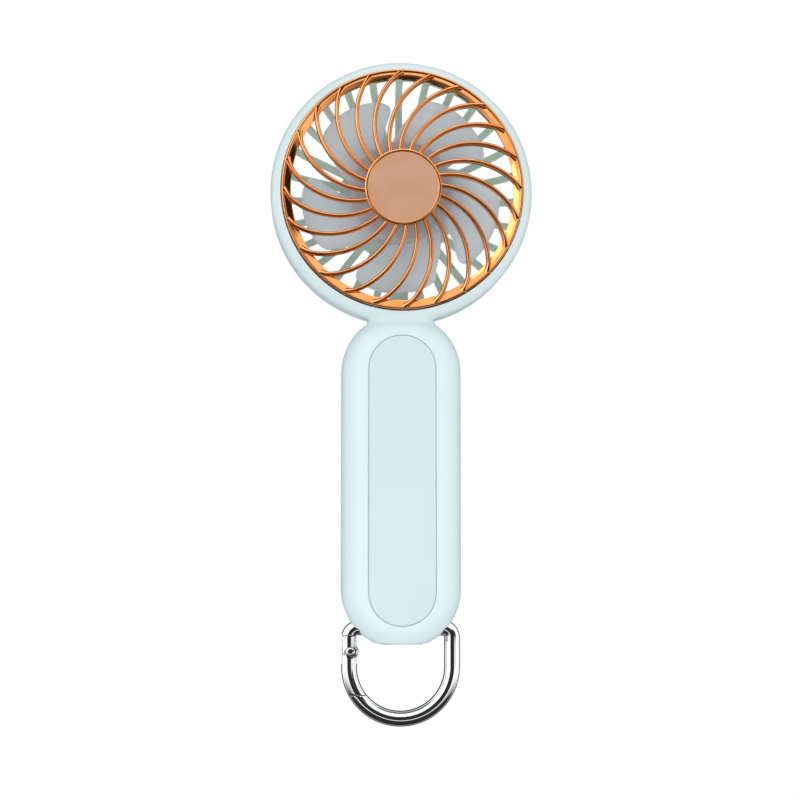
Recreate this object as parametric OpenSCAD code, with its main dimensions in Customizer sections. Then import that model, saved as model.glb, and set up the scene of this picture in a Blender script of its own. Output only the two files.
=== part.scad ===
// Handheld electric fan with a carabiner.
// X is to the right, -Y is the front of the fan, +Z is up, and the origin is the middle of the base pad's face.
// Heights are along Z. Depths called "front" or "back" are distances from the casing's split plane at Y = 0.

/* [Fan head] */
// Height of the fan's axis above the base
head_z = 143.4; // [130:0.1:160]
// Radius of the head at its widest
head_r = 41.8; // [41:0.1:44]
// Radius of the rim's rounded front edge
bezel_round = 6.2; // [5:0.1:7]
// Radius of the seat that the front grille drops into
seat_r = 38.4; // [38:0.1:39]
// How far the rim reaches back from the split plane
rim_back = 5.2; // [4:0.1:6]

/* [Handle] */
// Half the handle's width, and the radius of its round ends
grip_r = 19; // [18:0.1:21]
// Half the handle's depth
grip_d = 11; // [10.5:0.1:12]
// Radius of the handle's long edges
grip_round = 8.3; // [7:0.1:8.4]
// Height of the centre of the lower round end
grip_lo = 17.3; // [16:0.1:18]
// Height of the centre of the upper round end
grip_hi = 85.8; // [80:0.1:86]
// Radius of the front panel's round ends
panel_r = 10.35; // [9:0.05:10.4]
// Lowest point of the front panel
panel_lo = 6.2; // [6:0.1:8]
// Highest point of the front panel
panel_hi = 96.9; // [88:0.1:97]
// Thickness of the front panel
panel_t = 1.4; // [1:0.1:1.5]

/* [Front grille] */
// Number of swirled ribs
ribs = 24; // [20:1:26]
// Width of a rib
rib_w = 1.4; // [1:0.1:1.8]
// Depth of a rib
rib_d = 3; // [2:0.1:3.4]
// Radius of the arc that each rib follows
rib_arc_r = 23.48; // [23.3:0.01:23.6]
// Distance from the fan's axis to the centre of a rib's arc
rib_arc_off = 24.57; // [24.4:0.01:24.7]
// Direction of the first arc's centre from the fan's axis
rib_arc_dir = -66.14; // [-70:0.01:-60]
// Radius of the badge disc
badge_r = 12.1; // [11:0.1:12.5]
// Front of the badge disc
badge_front = 15.7; // [15.2:0.1:16]

/* [Rear grille] */
// Number of radial bars
bars = 28; // [24:2:32]
// Width of a bar
bar_w = 2.3; // [1.6:0.1:2.6]
// Width of the bottom bar, which carries the motor's leads
wire_bar_w = 6.2; // [5:0.1:7]
// Thickness of the bars
bar_t = 1.8; // [1.4:0.1:2]
// Radius of the centre disc that the motor sits on
motor_disc_r = 19.6; // [18:0.1:20]

/* [Impeller] */
// Number of blades
blades = 5; // [3:1:7]
// Radius of the blade tips
tip_r = 32.1; // [28:0.1:32.5]
// Radius of the impeller's hub
hub_r = 16.5; // [15.5:0.1:17]
// Front face of the hub
hub_front = 7.2; // [7:0.1:7.6]
// Pitch of the blades in degrees
blade_pitch = 18; // [12:1:20]
// Thickness of a blade
blade_t = 1.3; // [1:0.1:1.6]

/* [Motor] */
// Radius of the motor's can
can_r = 12.2; // [12:0.05:12.2]
// Radius of the motor's shaft
shaft_r = 1; // [0.9:0.05:1]
// Running clearance of the shaft in its bushes
shaft_gap = 0.03; // [0.02:0.01:0.05]

/* [Carabiner] */
// Radius of the round bar
ring_bar_r = 2.5; // [2:0.05:2.5]
// Distance of each leg's centreline from the middle
ring_leg = 16.35; // [16.3:0.05:17]
// Height of the top bar's axis, which it swings about
ring_z = 4.8; // [4.7:0.05:5]
// Height of the centre of the lower half circle
ring_bow_z = -7.4; // [-12:0.1:-6]
// Clearance of the top bar in its bore
ring_gap = 0.1; // [0.05:0.01:0.1]
// Height of the line between the gate's lower end and the frame
gate_lo = -16.2; // [-18:0.1:-15]
// Height of the gate's upper end
gate_hi = 2.5; // [2:0.1:2.5]
// Sideways place of the gate's hinge pin
gate_x = -16; // [-16.3:0.1:-15.9]
// Height of the gate's hinge pin
gate_z = -2.5; // [-3.2:0.1:-2.4]

/* [Hidden] */
$fn = 48;

// Small overshoot that keeps cuts clear of faces
cut = 1;
// Casing
base_cut = 0.3;
rim_edge = 0.8;
pad_w = 14;
pad_d = 12;
pad_t = 1.3;
pad_corner = 2;
pad_gap = 0.05;
ledge_r = 36.4;
ledge_front = 6.4;
ledge_back = 5;
bezel_r = 38.6;
ring_front = 12.2;
ring_in = 35.3;
// How far the ring's chamfered face falls back towards its inner edge
ring_slope = 1.1;
dome_r = 211;
dome_top = 15.34;
rear_bore_r = 40.45;
cave_r = 17.2;
cave_front = 8;
cave_back = 9.4;
cave_round = 5;
cave_floor = 9.6;
cave_hi = 84;
panel_gap = 0.25;
boss_r = 2.6;
boss_into = 0.5;
boss_x = 7;
boss_z = [16.5, 91.5];
screw_r = 1;
screw_head_r = 1.9;
screw_head_t = 1.2;
screw_len = 7;
screw_clear = 0.15;
screw_seat = grip_d - panel_t - screw_head_t - 0.1;
// Rear grille's bowl: bars leave the ring and bend to the flat back along a quarter ellipse
bowl_r = 33.5;
bowl_w = 6;
bowl_start = 4.2;
bowl_d = 7.6;
groove_w = 3.2;
lead_depth = 3;
lead_hole_r = 1.3;
lead_r = 0.5;
cover_r = 14;
cage_ring_in = 38.5;
cage_ring_out = 40.4;
// Motor, front to back
can_front = 2.6;
can_back = 8.6;
can_wall = 0.6;
magnet_in = 8.8;
magnet_gap = 0.04;
// Armature: back face and thickness of its core, and radii of its pole shoes
core_back = 5;
core_t = 4.6;
shoe_in = 6.8;
shoe_out = 8;
cap_t = 1.2;
bush_r = 2.5;
cup_back = 10.25;
seat_wall = 1.35;
seat_gap = 0.05;
cup_front = 5.5;
disc_front = bowl_start + bowl_d - bar_t / 2 - 0.1;
// Circuit board
board_front = 3.4;
board_t = 1.2;
board_lo = 22;
board_hi = 86;
board_w = 23;
board_back = board_front + board_t;
button_z = 70;
lens_z = 56;
lens_w = 14;
cell_front = 7.6;
cell_lo = 24;
cell_hi = 80;
usb_z = 30;
button_r = 5;
button_top = 11.6;
// Carabiner
ring_bend = 3;
ring_corner_x = ring_leg - ring_bend;
ring_corner_z = ring_z - ring_bend;
mouth_x = 13.1;
swing_max = 60;
swing_gap = 0.45;
slot_half = 1.1;
tongue_half = 1;
tongue_r = 2.8;
ring_mid = 0.2 - ring_leg;
pin_r = 0.9;
pin_gap = 0.05;
pin_head_r = 1.45;
gate_gap = 0.12;
slot_floor = 4;
spring_bore_r = 1.1;
spring_bore_lo = -12;

mint = "#d9edee";
mint_shade = "#b9d6cb";
copper = "#e08a4a";
badge_copper = "#cd9b7c";
steel = "#c8ccd0";
grey = "#b8b8ba";
black = "#2b2b2d";
green = "#2f6b4a";
red = "#b03a36";

// Points of an arc, with its angles in degrees
function arc(x, y, r, a0, a1, n = 8) =
    [for (i = [0:n]) [x + r * cos(a0 + (a1 - a0) * i / n), y + r * sin(a0 + (a1 - a0) * i / n)]];

// Draws in the fan's face: children's X is right, their Y is up from height z, and their Z is towards the front
module face(z = 0) {
    translate([0, 0, z]) rotate([90, 0, 0]) children();
}

// Draws along X, centred on x = 0
module across(y, z) {
    translate([0, y, z]) rotate([0, 90, 0]) children();
}

// Half section of a round-ended bar, from its middle outwards
function bar_half(w, front, back, c) =
    concat([[0, -back]], arc(w - c, c - back, c, -90, 0), arc(w - c, front - c, c, 0, 90), [[0, front]]);

// Round-ended bar standing along Z, with rounded long edges
module pill(w, front, back, c, lo, hi) {
    half = bar_half(w, front, back, c);
    right = [for (p = half) [p[0], -p[1]]];
    left = [for (i = [len(half) - 2:-1:1]) [-half[i][0], -half[i][1]]];
    translate([0, 0, lo]) linear_extrude(hi - lo) polygon(concat(right, left));
    face(hi) rotate_extrude(angle = 180) polygon(half);
    face(lo) rotate([0, 0, 180]) rotate_extrude(angle = 180) polygon(half);
}

// Everything in front of the split plane
module front_space() {
    translate([-60, -40, -10]) cube([120, 40, 220]);
}

module back_space() {
    translate([-60, 0, -10]) cube([120, 40, 220]);
}

// Solid rim of the head
module rim() {
    bezel_top = acos((bezel_r - head_r + bezel_round) / bezel_round);
    bezel_front = ledge_back + bezel_round * sin(bezel_top);
    profile = concat(
        [[ledge_r, -rim_back]],
        arc(head_r - rim_edge, rim_edge - rim_back, rim_edge, -90, 0, 3),
        arc(head_r - bezel_round, ledge_back, bezel_round, 0, bezel_top),
        [[ledge_r, bezel_front]]);
    face(head_z) rotate_extrude($fn = 96) polygon(profile);
}

// Space inside the handle
module handle_cave() {
    difference() {
        pill(cave_r, cave_front, cave_back, cave_round, grip_lo, cave_hi);
        translate([-30, -20, -10]) cube([60, 40, 10 + cave_floor]);
    }
}

// Bore for the carabiner's top bar, with a fan-shaped mouth on each side for its swing
module ring_space() {
    mouth_r = ring_bar_r + swing_gap;
    reach = 8;
    edge = [mouth_r * cos(swing_max), mouth_r * sin(swing_max)];
    far = [edge[0] + reach * sin(swing_max), edge[1] - reach * cos(swing_max)];
    fan = [edge, far, [far[0], -9], [-far[0], -9], [-far[0], far[1]], [-edge[0], edge[1]]];
    across(0, ring_z) cylinder(r = ring_bar_r + ring_gap, h = 2 * mouth_x + 2, center = true);
    for (side = [-1, 1]) {
        across(0, ring_z) translate([0, 0, side * (mouth_x + 5)]) cylinder(r = mouth_r, h = 10, center = true);
        translate([side * (mouth_x + 5) - 5, 0, ring_z]) rotate([90, 0, 90]) linear_extrude(10) polygon(fan);
    }
}

// Places children at the four casing screws
module at_screws() {
    for (x = [-boss_x, boss_x], z = boss_z) translate([x, 0, z]) rotate([90, 0, 0]) children();
}

// Handle and rim before they are hollowed
module body_blank() {
    difference() {
        union() {
            pill(grip_r, grip_d, grip_d, grip_round, grip_lo, grip_hi);
            rim();
        }
        translate([-30, -20, -10]) cube([60, 40, 10 + base_cut]);
    }
}

// Pill-shaped block in the front face: w is its radius, t its depth behind the face and over its overshoot
module panel_block(w, t, over) {
    grow = w - panel_r;
    lo = panel_lo - grow + w;
    hi = panel_hi + grow - w;
    translate([0, -grip_d + t, 0]) face() {
        translate([0, lo, 0]) cylinder(r = w, h = t + over);
        translate([0, hi, 0]) cylinder(r = w, h = t + over);
        translate([-w, lo, 0]) cube([2 * w, hi - lo, t + over]);
    }
}

// Round-cornered pad under the base, grown by gap
module pad_block(gap) {
    w = pad_w / 2 + gap;
    d = pad_d / 2 + gap;
    c = pad_corner;
    linear_extrude(pad_t + gap) {
        square([2 * w, 2 * d - 2 * c], center = true);
        square([2 * w - 2 * c, 2 * d], center = true);
        for (x = [c - w, w - c], y = [c - d, d - c]) translate([x, y]) circle(r = c);
    }
}

module front_shell() {
    opening = [[0, -cut], [seat_r, -cut], [seat_r, ledge_back], [ledge_r, ledge_back], [ledge_r, ledge_front],
        [seat_r, ledge_front], [seat_r, 20], [0, 20]];
    color(mint) difference() {
        union() {
            difference() {
                intersection() {
                    body_blank();
                    front_space();
                }
                face(head_z) rotate_extrude($fn = 96) polygon(opening);
                handle_cave();
            }
            at_screws() cylinder(r = boss_r, h = cave_front + boss_into);
        }
        ring_space();
        pad_block(pad_gap);
        panel_block(panel_r + panel_gap, panel_t, cut);
        at_screws() translate([0, 0, -cut]) cylinder(r = screw_r + screw_clear, h = 20);
        at_screws() translate([0, 0, screw_seat]) cylinder(r = screw_head_r + screw_clear, h = 5);
    }
}

module rear_shell() {
    opening = [[0, cut], [rear_bore_r, cut], [rear_bore_r, -20], [0, -20]];
    color(mint) difference() {
        union() {
            difference() {
                intersection() {
                    body_blank();
                    back_space();
                }
                face(head_z) rotate_extrude($fn = 96) polygon(opening);
                handle_cave();
            }
            at_screws() translate([0, 0, -cave_back - boss_into]) cylinder(r = boss_r, h = cave_back + boss_into);
        }
        ring_space();
        pad_block(pad_gap);
        at_screws() translate([0, 0, -screw_len]) cylinder(r = screw_r, h = 20);
        face(button_z) translate([0, 0, -20]) cylinder(r = button_r + 0.2, h = 20);
        translate([-lens_w / 2, 0, lens_z - 1]) cube([lens_w, 20, 2]);
        usb_block(0.1, 20);
        translate([0, lead_depth, head_z - rear_bore_r - 4]) cylinder(r = lead_hole_r, h = 10);
    }
}

// Wide rounded block of the charging socket, grown by gap, from the board out to y = reach
module usb_block(gap, reach) {
    h = 1.6 + gap;
    w = 4.47 + gap - h;
    translate([0, board_back, usb_z]) rotate([-90, 0, 0]) {
        for (x = [-w, w]) translate([x, 0, 0]) cylinder(r = h, h = reach - board_back);
        translate([-w, -h, 0]) cube([2 * w, 2 * h, reach - board_back]);
    }
}

module front_panel() {
    color(mint) panel_block(panel_r, panel_t, 0);
}

module base_pad() {
    color(grey) pad_block(0);
}

module casing_screws() {
    color(steel) at_screws() {
        translate([0, 0, screw_seat]) cylinder(r = screw_head_r, h = screw_head_t);
        translate([0, 0, 0.3 - screw_len]) cylinder(r = screw_r, h = screw_seat + screw_len - 0.2);
    }
}

// Front surface of the front grille's dome at radius r
function dome(r) = sqrt(dome_r * dome_r - r * r) - dome_r + dome_top;

module front_grille() {
    top = [for (i = [0:6]) let (r = 11.5 + 26 * i / 6) [r, dome(r)]];
    under = [for (i = [6:-1:0]) let (r = 11.5 + 26 * i / 6) [r, dome(r) - rib_d]];
    ring = [[seat_r - 0.2, ledge_front], [seat_r - 0.2, ring_front - 0.3], [seat_r - 0.5, ring_front],
        [seat_r - 0.9, ring_front], [ring_in, ring_front - ring_slope], [ring_in, ledge_front]];
    arc_x = rib_arc_off * cos(rib_arc_dir);
    arc_y = rib_arc_off * sin(rib_arc_dir);
    color(copper) face(head_z) {
        rotate_extrude($fn = 96) polygon(ring);
        translate([0, 0, dome(0) - 3.6]) cylinder(r = badge_r, h = 3.3);
        intersection() {
            rotate_extrude($fn = 96) polygon(concat(top, under));
            for (i = [0:ribs - 1]) rotate([0, 0, i * 360 / ribs]) translate([arc_x, arc_y, 0])
                rotate([0, 0, 7]) rotate_extrude(angle = 79, $fn = 96)
                    translate([rib_arc_r - rib_w / 2, 6]) square([rib_w, 12]);
        }
    }
}

module grille_badge() {
    back = dome(0) - 0.3;
    profile = [[0, back], [badge_r, back], [badge_r, badge_front - 0.5], [badge_r - 0.7, badge_front],
        [badge_r - 1, badge_front - 0.15], [0, badge_front - 0.15]];
    color(badge_copper) face(head_z) rotate_extrude($fn = 96) polygon(profile);
}

// Half section of the rear grille's bowl between offsets a and b outwards from its middle line
function bowl_band(a, b, inner) = concat(
    [[inner, -bowl_start - bowl_d - b]],
    [for (i = [0:8]) bowl_point(90 - 90 * i / 8, b)],
    [for (i = [0:8]) bowl_point(90 * i / 8, a)],
    [[inner, -bowl_start - bowl_d - a]]);

function bowl_point(t, off) = [bowl_r + (bowl_w + off) * cos(t), -bowl_start - (bowl_d + off) * sin(t)];

// Slab through the axis, of width w, from radius 0 to 45 in direction dir
module radial_slab(w, dir) {
    rotate([0, 0, dir]) translate([0, -w / 2, -20]) cube([45, w, 40]);
}

module rear_grille() {
    half = bar_t / 2;
    disc_back = bowl_start + bowl_d + half;
    disc = [[0, -disc_back], [motor_disc_r - 0.5, -disc_back], [motor_disc_r, 0.5 - disc_back],
        [motor_disc_r, -disc_front], [0, -disc_front]];
    ring_back = bowl_start + 1.3;
    ring = [[cage_ring_in, -0.6], [cage_ring_out, -0.6], [cage_ring_out, 0.5 - ring_back],
        [cage_ring_out - 0.5, -ring_back], [cage_ring_in, -ring_back]];
    cup = [[can_r + seat_gap, -disc_front - 0.1], [can_r + seat_wall, -disc_front - 0.1],
        [can_r + seat_wall, -cup_front], [can_r + seat_gap, -cup_front]];
    color(mint_shade) face(head_z) difference() {
        union() {
            rotate_extrude($fn = 96) polygon(disc);
            rotate_extrude($fn = 96) polygon(ring);
            rotate_extrude($fn = 96) polygon(cup);
            intersection() {
                rotate_extrude($fn = 96) polygon(bowl_band(-half, half, motor_disc_r - 1));
                union() {
                    for (i = [1:bars - 1]) radial_slab(bar_w, 270 + i * 360 / bars);
                    radial_slab(wire_bar_w, 270);
                }
            }
        }
        // channel for the motor's leads
        intersection() {
            rotate_extrude($fn = 96) polygon(bowl_band(-2, 0.1, motor_disc_r - 2));
            radial_slab(groove_w, 270);
        }
        translate([-groove_w / 2, -motor_disc_r, half - disc_back - 0.1]) cube([groove_w, motor_disc_r - 4, 3]);
        translate([0, -rear_bore_r + 3, -lead_depth]) rotate([90, 0, 0]) cylinder(r = lead_hole_r, h = 6);
        translate([0, 0, -disc_back - cut]) cylinder(r = cover_r + 0.05, h = 1 + cut);
        translate([0, 0, -disc_back - cut]) cylinder(r = 6, h = 10);
    }
}

module motor_cover() {
    back = bowl_start + bowl_d + bar_t / 2;
    top = back + 0.4;
    profile = [[0, -top], [cover_r - 1.2, -top], [cover_r, -back], [cover_r, 1 - back], [0, 1 - back]];
    color(mint_shade) face(head_z) rotate_extrude($fn = 96) polygon(profile);
}

// Direction of the middle of a blade at radius r, and half of the angle that it covers
function blade_mid(r) = let (a = 22 - 1.76 * (r - 15)) 50 + (a + sqrt(a * a + 4)) / 2;
function blade_half(r) = (31 - 0.36 * (r - 15)) * pow(1 - pow(max(0, (r - 28.5) / (tip_r - 28.5)), 3), 0.4);

module impeller() {
    steps = 14;
    radii = [for (i = [0:steps]) 15.7 + (tip_r - 15.7) * sin(90 * i / steps)];
    lead = [for (r = radii) let (a = blade_mid(r) - blade_half(r)) [r * cos(a), r * sin(a)]];
    trail = [for (i = [steps - 1:-1:0]) let (r = radii[i], a = blade_mid(r) + blade_half(r))
        [r * cos(a), r * sin(a)]];
    tilt_dir = blade_mid(24);
    hub = [[0, hub_front], [hub_r - 1.5, hub_front], [hub_r, hub_front - 1.5], [hub_r, -4.5], [hub_r - 1.2, -4.5],
        [hub_r - 1.2, hub_front - 1.2], [3, hub_front - 1.2], [3, 3.6], [shaft_r, 3.6], [shaft_r, 6.8], [0, 6.8]];
    color(grey) face(head_z) {
        rotate_extrude($fn = 96) polygon(hub);
        for (i = [0:blades - 1]) rotate([0, 0, i * 360 / blades]) intersection() {
            translate([0, 0, -10]) linear_extrude(25) polygon(concat(lead, trail));
            translate([0, 0, 3.1]) rotate([0, 0, tilt_dir]) rotate([blade_pitch, 0, 0])
                translate([0, -30, -blade_t / 2]) cube([40, 60, blade_t]);
        }
    }
}

module motor_shaft() {
    color(steel) face(head_z) translate([0, 0, -10]) cylinder(r = shaft_r, h = 16.8);
}

module armature_core() {
    color(steel) face(head_z) translate([0, 0, -core_back]) difference() {
        union() {
            cylinder(r = 2.8, h = core_t);
            for (i = [0:2]) rotate([0, 0, 120 * i]) {
                translate([0, -1.2, 0]) cube([shoe_in + 0.2, 2.4, core_t]);
                intersection() {
                    difference() {
                        cylinder(r = shoe_out, h = core_t);
                        translate([0, 0, -cut]) cylinder(r = shoe_in, h = core_t + 2 * cut);
                    }
                    translate([3, -5, 0]) cube([8, 10, core_t]);
                }
            }
        }
        translate([0, 0, -cut]) cylinder(r = shaft_r, h = core_t + 2 * cut);
    }
}

module armature_windings() {
    color(copper) face(head_z) for (i = [0:2]) rotate([0, 0, 120 * i]) difference() {
        translate([3.2, -2.1, -5.8]) cube([3.2, 4.2, 6.2]);
        translate([2, -1.25, -5.05]) cube([8, 2.5, 4.7]);
    }
}

module commutator() {
    color(copper) face(head_z) difference() {
        translate([0, 0, -8.2]) cylinder(r = 2.4, h = 2.2);
        translate([0, 0, -9]) cylinder(r = shaft_r, h = 4);
    }
}

module motor_can() {
    profile = [[3.1, can_front], [can_r - 0.6, can_front], [can_r, can_front - 0.6], [can_r, -can_back],
        [can_r - can_wall, -can_back], [can_r - can_wall, can_front - can_wall], [bush_r, can_front - can_wall],
        [bush_r, can_front + 0.4], [3.1, can_front + 0.4]];
    color(steel) face(head_z) rotate_extrude($fn = 96) polygon(profile);
}

module motor_magnets() {
    color(black) face(head_z) intersection() {
        difference() {
            translate([0, 0, -6.5]) cylinder(r = can_r - can_wall - magnet_gap, h = 7.5);
            translate([0, 0, -7]) cylinder(r = magnet_in, h = 9);
        }
        union() {
            translate([-15, -8, -8]) cube([12, 16, 12]);
            translate([3, -8, -8]) cube([12, 16, 12]);
        }
    }
}

module motor_end_cap() {
    cap_back = can_back + cap_t;
    profile = [[bush_r, -can_back], [can_r - 0.1, -can_back], [can_r - 0.1, -cap_back], [3.4, -cap_back],
        [3.4, -cup_back - 0.25], [0, -cup_back - 0.25], [0, -cup_back], [bush_r, -cup_back]];
    color(black) face(head_z) rotate_extrude($fn = 96) polygon(profile);
}

module motor_bushes() {
    bore = shaft_r + shaft_gap;
    color("#b98a4a") face(head_z) rotate_extrude() {
        translate([bore, can_front - 1.6]) square([bush_r - bore, 2]);
        translate([bore, -cup_back]) square([bush_r - bore, cup_back - can_back]);
    }
}

module motor_brushes() {
    color(copper) face(head_z) for (side = [-1, 1])
        translate([side * 4 - 1.4, -1, -8.5]) cube([2.8, 2, 2]);
}

// Tube of eight sides through points that run mostly up, down, forwards or back
module wire(points, r) {
    last = len(points) - 1;
    rings = [for (i = [0:last]) let (
        run = points[min(i + 1, last)] - points[max(i - 1, 0)],
        along = run / norm(run),
        side = cross([1, 0, 0], along) / norm(cross([1, 0, 0], along)),
        out = cross(along, side)
    ) for (k = [0:7]) points[i] + r * (cos(45 * k) * side + sin(45 * k) * out)];
    walls = [for (i = [0:last - 1], k = [0:7]) let (n = (k + 1) % 8)
        [i * 8 + k, (i + 1) * 8 + k, (i + 1) * 8 + n, i * 8 + n]];
    ends = [[for (k = [0:7]) k], [for (k = [7:-1:0]) last * 8 + k]];
    polyhedron(rings, concat(walls, ends));
}

// Leads from the motor, down the wide bar of the rear grille and through the neck to the board
module motor_leads() {
    back = disc_front + 0.3;
    bowl = [for (i = [1:3]) let (p = bowl_point(90 - 22.5 * i, -0.55)) [p[0], -p[1]]];
    color(red) for (x = [-0.75, 0.75]) wire(concat(
        [[x, back, head_z - 7.5], [x, back, head_z - bowl_r]],
        [for (p = bowl) [x, p[1], head_z - p[0]]],
        [[x * 0.8, lead_depth, head_z - cage_ring_in + 0.6], [x * 0.8, lead_depth, grip_hi + 14],
        [x * 2, board_back + 0.7, board_hi + 2], [x * 2, board_back + 0.7, board_hi - 3]]), lead_r);
}

module battery_cell() {
    color(grey) translate([0, -cell_front, cell_lo]) linear_extrude(cell_hi - cell_lo) {
        translate([-14 + 3, 0]) square([22, 9.8]);
        translate([-14, 3]) square([28, 3.8]);
        for (x = [-11, 11], y = [3, 6.8]) translate([x, y]) circle(r = 3);
    }
}

module battery_leads() {
    front = board_front - lead_r - 0.1;
    color(black) for (x = [-1.5, 1.5])
        wire([[x, -1, cell_hi], [x, -1, cell_hi + 2], [x * 2.4, front, cell_hi + 4], [x * 2.4, front, board_hi]],
            lead_r);
}

module battery_pad() {
    color(black) translate([-10, 9.8 - cell_front, 34]) cube([20, board_front + cell_front - 9.8, 36]);
}

module circuit_board() {
    color(green) translate([-board_w / 2, board_front, board_lo]) cube([board_w, board_t, board_hi - board_lo]);
}

module control_chip() {
    color(black) translate([-8.5, board_back, 44]) cube([4.9, 1.5, 4.9]);
}

module boost_inductor() {
    color(black) translate([2.5, board_back, 42]) cube([6.5, 3.2, 6.5]);
}

module board_capacitors() {
    color("#c9b184") for (z = [37, 41]) translate([-8, board_back, z - 1.2]) cube([3.2, 1.6, 1.6]);
}

module usb_c_socket() {
    color(steel) difference() {
        usb_block(0, grip_d - 0.3);
        translate([-3.9, board_back + 1.4, usb_z - 1.2]) cube([7.8, 10, 2.4]);
    }
    color(black) translate([-3.2, board_back + 1.4, usb_z - 0.35]) cube([6.4, 4, 0.7]);
}

module push_switch() {
    color(black) translate([-3, board_back, button_z - 3]) cube([6, 3, 6]);
    color(steel) face(button_z) translate([0, 0, -board_back - 3.5]) cylinder(r = 1.7, h = 0.6);
}

module status_lights() {
    color("#e8f4ff") for (i = [0:3]) translate([3.2 * (i - 1.5) - 0.8, board_back, lens_z - 0.6])
        cube([1.6, 0.8, 1.2]);
}

module light_window() {
    color("#f2fbff") translate([0.1 - lens_w / 2, board_back + 1.2, lens_z - 0.9])
        cube([lens_w - 0.2, grip_d - board_back - 1.2, 1.8]);
}

module power_button() {
    profile = [[0, -button_top], [button_r - 0.5, -button_top], [button_r, 0.5 - button_top], [button_r, -9.1],
        [button_r + 1, -9.1], [button_r + 1, -8.6], [0, -8.6]];
    color(mint) face(button_z) rotate_extrude() polygon(profile);
}

// Whole closed ring of round bar, swept along its path
module ring_bar() {
    bar = ring_bar_r;
    across(0, ring_z) cylinder(r = bar, h = 2 * ring_corner_x, center = true);
    face(0) {
        for (side = [-1, 1]) {
            translate([side * ring_corner_x, ring_corner_z, 0]) rotate([0, 0, side > 0 ? 0 : 90])
                rotate_extrude(angle = 90) translate([ring_bend, 0]) circle(r = bar);
            translate([side * ring_leg, ring_bow_z, 0]) rotate([-90, 0, 0])
                cylinder(r = bar, h = ring_corner_z - ring_bow_z);
        }
        translate([0, ring_bow_z, 0]) rotate([0, 0, 180])
            rotate_extrude(angle = 180) translate([ring_leg, 0]) circle(r = bar);
    }
}

// Space that the gate takes out of the ring, between heights lo and hi
module gate_space(lo, hi) {
    translate([-25, -5, lo]) cube([16, 10, hi - lo]);
}

module carabiner_frame() {
    color(steel) difference() {
        union() {
            difference() {
                ring_bar();
                gate_space(gate_lo - gate_gap, gate_hi + gate_gap);
            }
            intersection() {
                union() {
                    translate([-18.2, -tongue_half, gate_z]) cube([4, 2 * tongue_half, 6]);
                    translate([gate_x, tongue_half, gate_z]) rotate([90, 0, 0])
                        cylinder(r = tongue_r, h = 2 * tongue_half);
                }
                translate([-18.5, -5, -10]) cube([10, 10, 20]);
            }
        }
        translate([gate_x, 5, gate_z]) rotate([90, 0, 0]) cylinder(r = pin_r, h = 10);
    }
}

module carabiner_gate() {
    top_r = gate_hi - gate_z;
    color(steel) difference() {
        intersection() {
            ring_bar();
            gate_space(gate_lo, gate_hi);
            union() {
                translate([-25, -5, -20]) cube([25 + gate_x, 10, 30]);
                translate([gate_x, 5, gate_z]) rotate([90, 0, 0]) cylinder(r = top_r, h = 10);
                translate([-25, -5, -20]) cube([20, 10, 20 + gate_z]);
            }
        }
        translate([-25, -slot_half, gate_z - slot_floor]) cube([20, 2 * slot_half, 20]);
        translate([gate_x, 5, gate_z]) rotate([90, 0, 0]) cylinder(r = pin_r + pin_gap, h = 10);
        for (side = [-1, 1]) translate([gate_x, side * 4, gate_z]) rotate([90, 0, 0])
            cylinder(r = pin_head_r + 0.15, h = 4, center = true);
        translate([ring_mid, 0, spring_bore_lo]) cylinder(r = spring_bore_r, h = 8);
    }
}

module gate_pin() {
    half = ring_bar_r + 0.2;
    seat = 2.05;
    profile = [[0, -half], [pin_head_r - 0.3, -half], [pin_head_r, 0.3 - half], [pin_head_r, -seat], [pin_r, -seat],
        [pin_r, seat], [pin_head_r, seat], [pin_head_r, half - 0.3], [pin_head_r - 0.3, half], [0, half]];
    color(steel) translate([gate_x, 0, gate_z]) rotate([90, 0, 0]) rotate_extrude() polygon(profile);
}

module gate_plunger() {
    lo = gate_z - slot_floor - 1.2;
    color(steel) translate([ring_mid, 0, lo]) cylinder(r = spring_bore_r - 0.1, h = gate_z - tongue_r - 0.12 - lo);
}

// Coil spring as a tube of eight sides swept along a helix
module gate_spring() {
    turns = 6;
    rings = turns * 10;
    coil_r = 0.75;
    wire_r = 0.2;
    lo = spring_bore_lo + wire_r;
    hi = gate_z - slot_floor - 1.2 - wire_r;
    points = [for (i = [0:rings], k = [0:7]) let (a = 360 * turns * i / rings, b = 45 * k)
        [(coil_r + wire_r * cos(b)) * cos(a), (coil_r + wire_r * cos(b)) * sin(a),
        lo + (hi - lo) * i / rings + wire_r * sin(b)]];
    sides = [for (i = [0:rings - 1], k = [0:7]) let (n = (k + 1) % 8)
        [i * 8 + k, i * 8 + n, (i + 1) * 8 + n, (i + 1) * 8 + k]];
    ends = [[for (k = [7:-1:0]) k], [for (k = [0:7]) rings * 8 + k]];
    color(steel) translate([ring_mid, 0, 0]) polyhedron(points, concat(sides, ends));
}

front_shell();
rear_shell();
front_panel();
base_pad();
casing_screws();
front_grille();
grille_badge();
rear_grille();
motor_cover();
impeller();
motor_shaft();
armature_core();
armature_windings();
commutator();
motor_can();
motor_magnets();
motor_end_cap();
motor_bushes();
motor_brushes();
motor_leads();
battery_cell();
battery_leads();
battery_pad();
circuit_board();
control_chip();
boost_inductor();
board_capacitors();
usb_c_socket();
push_switch();
status_lights();
light_window();
power_button();
carabiner_frame();
carabiner_gate();
gate_pin();
gate_plunger();
gate_spring();
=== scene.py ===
"""Looks of a handheld electric fan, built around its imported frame.

Sizes inside the classes are in millimetres. The frame's X is to the right, its Z is up, and the
fan blows towards -Y. "Forward" is a distance from the casing's split plane towards -Y, and a
radius is taken from the fan's own axis.
"""

import logging
import math
from dataclasses import dataclass
from enum import Enum
from typing import Any, Callable, Sequence

import bmesh
import bpy
import numpy as np
from mathutils import Euler, Matrix, Vector


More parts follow.
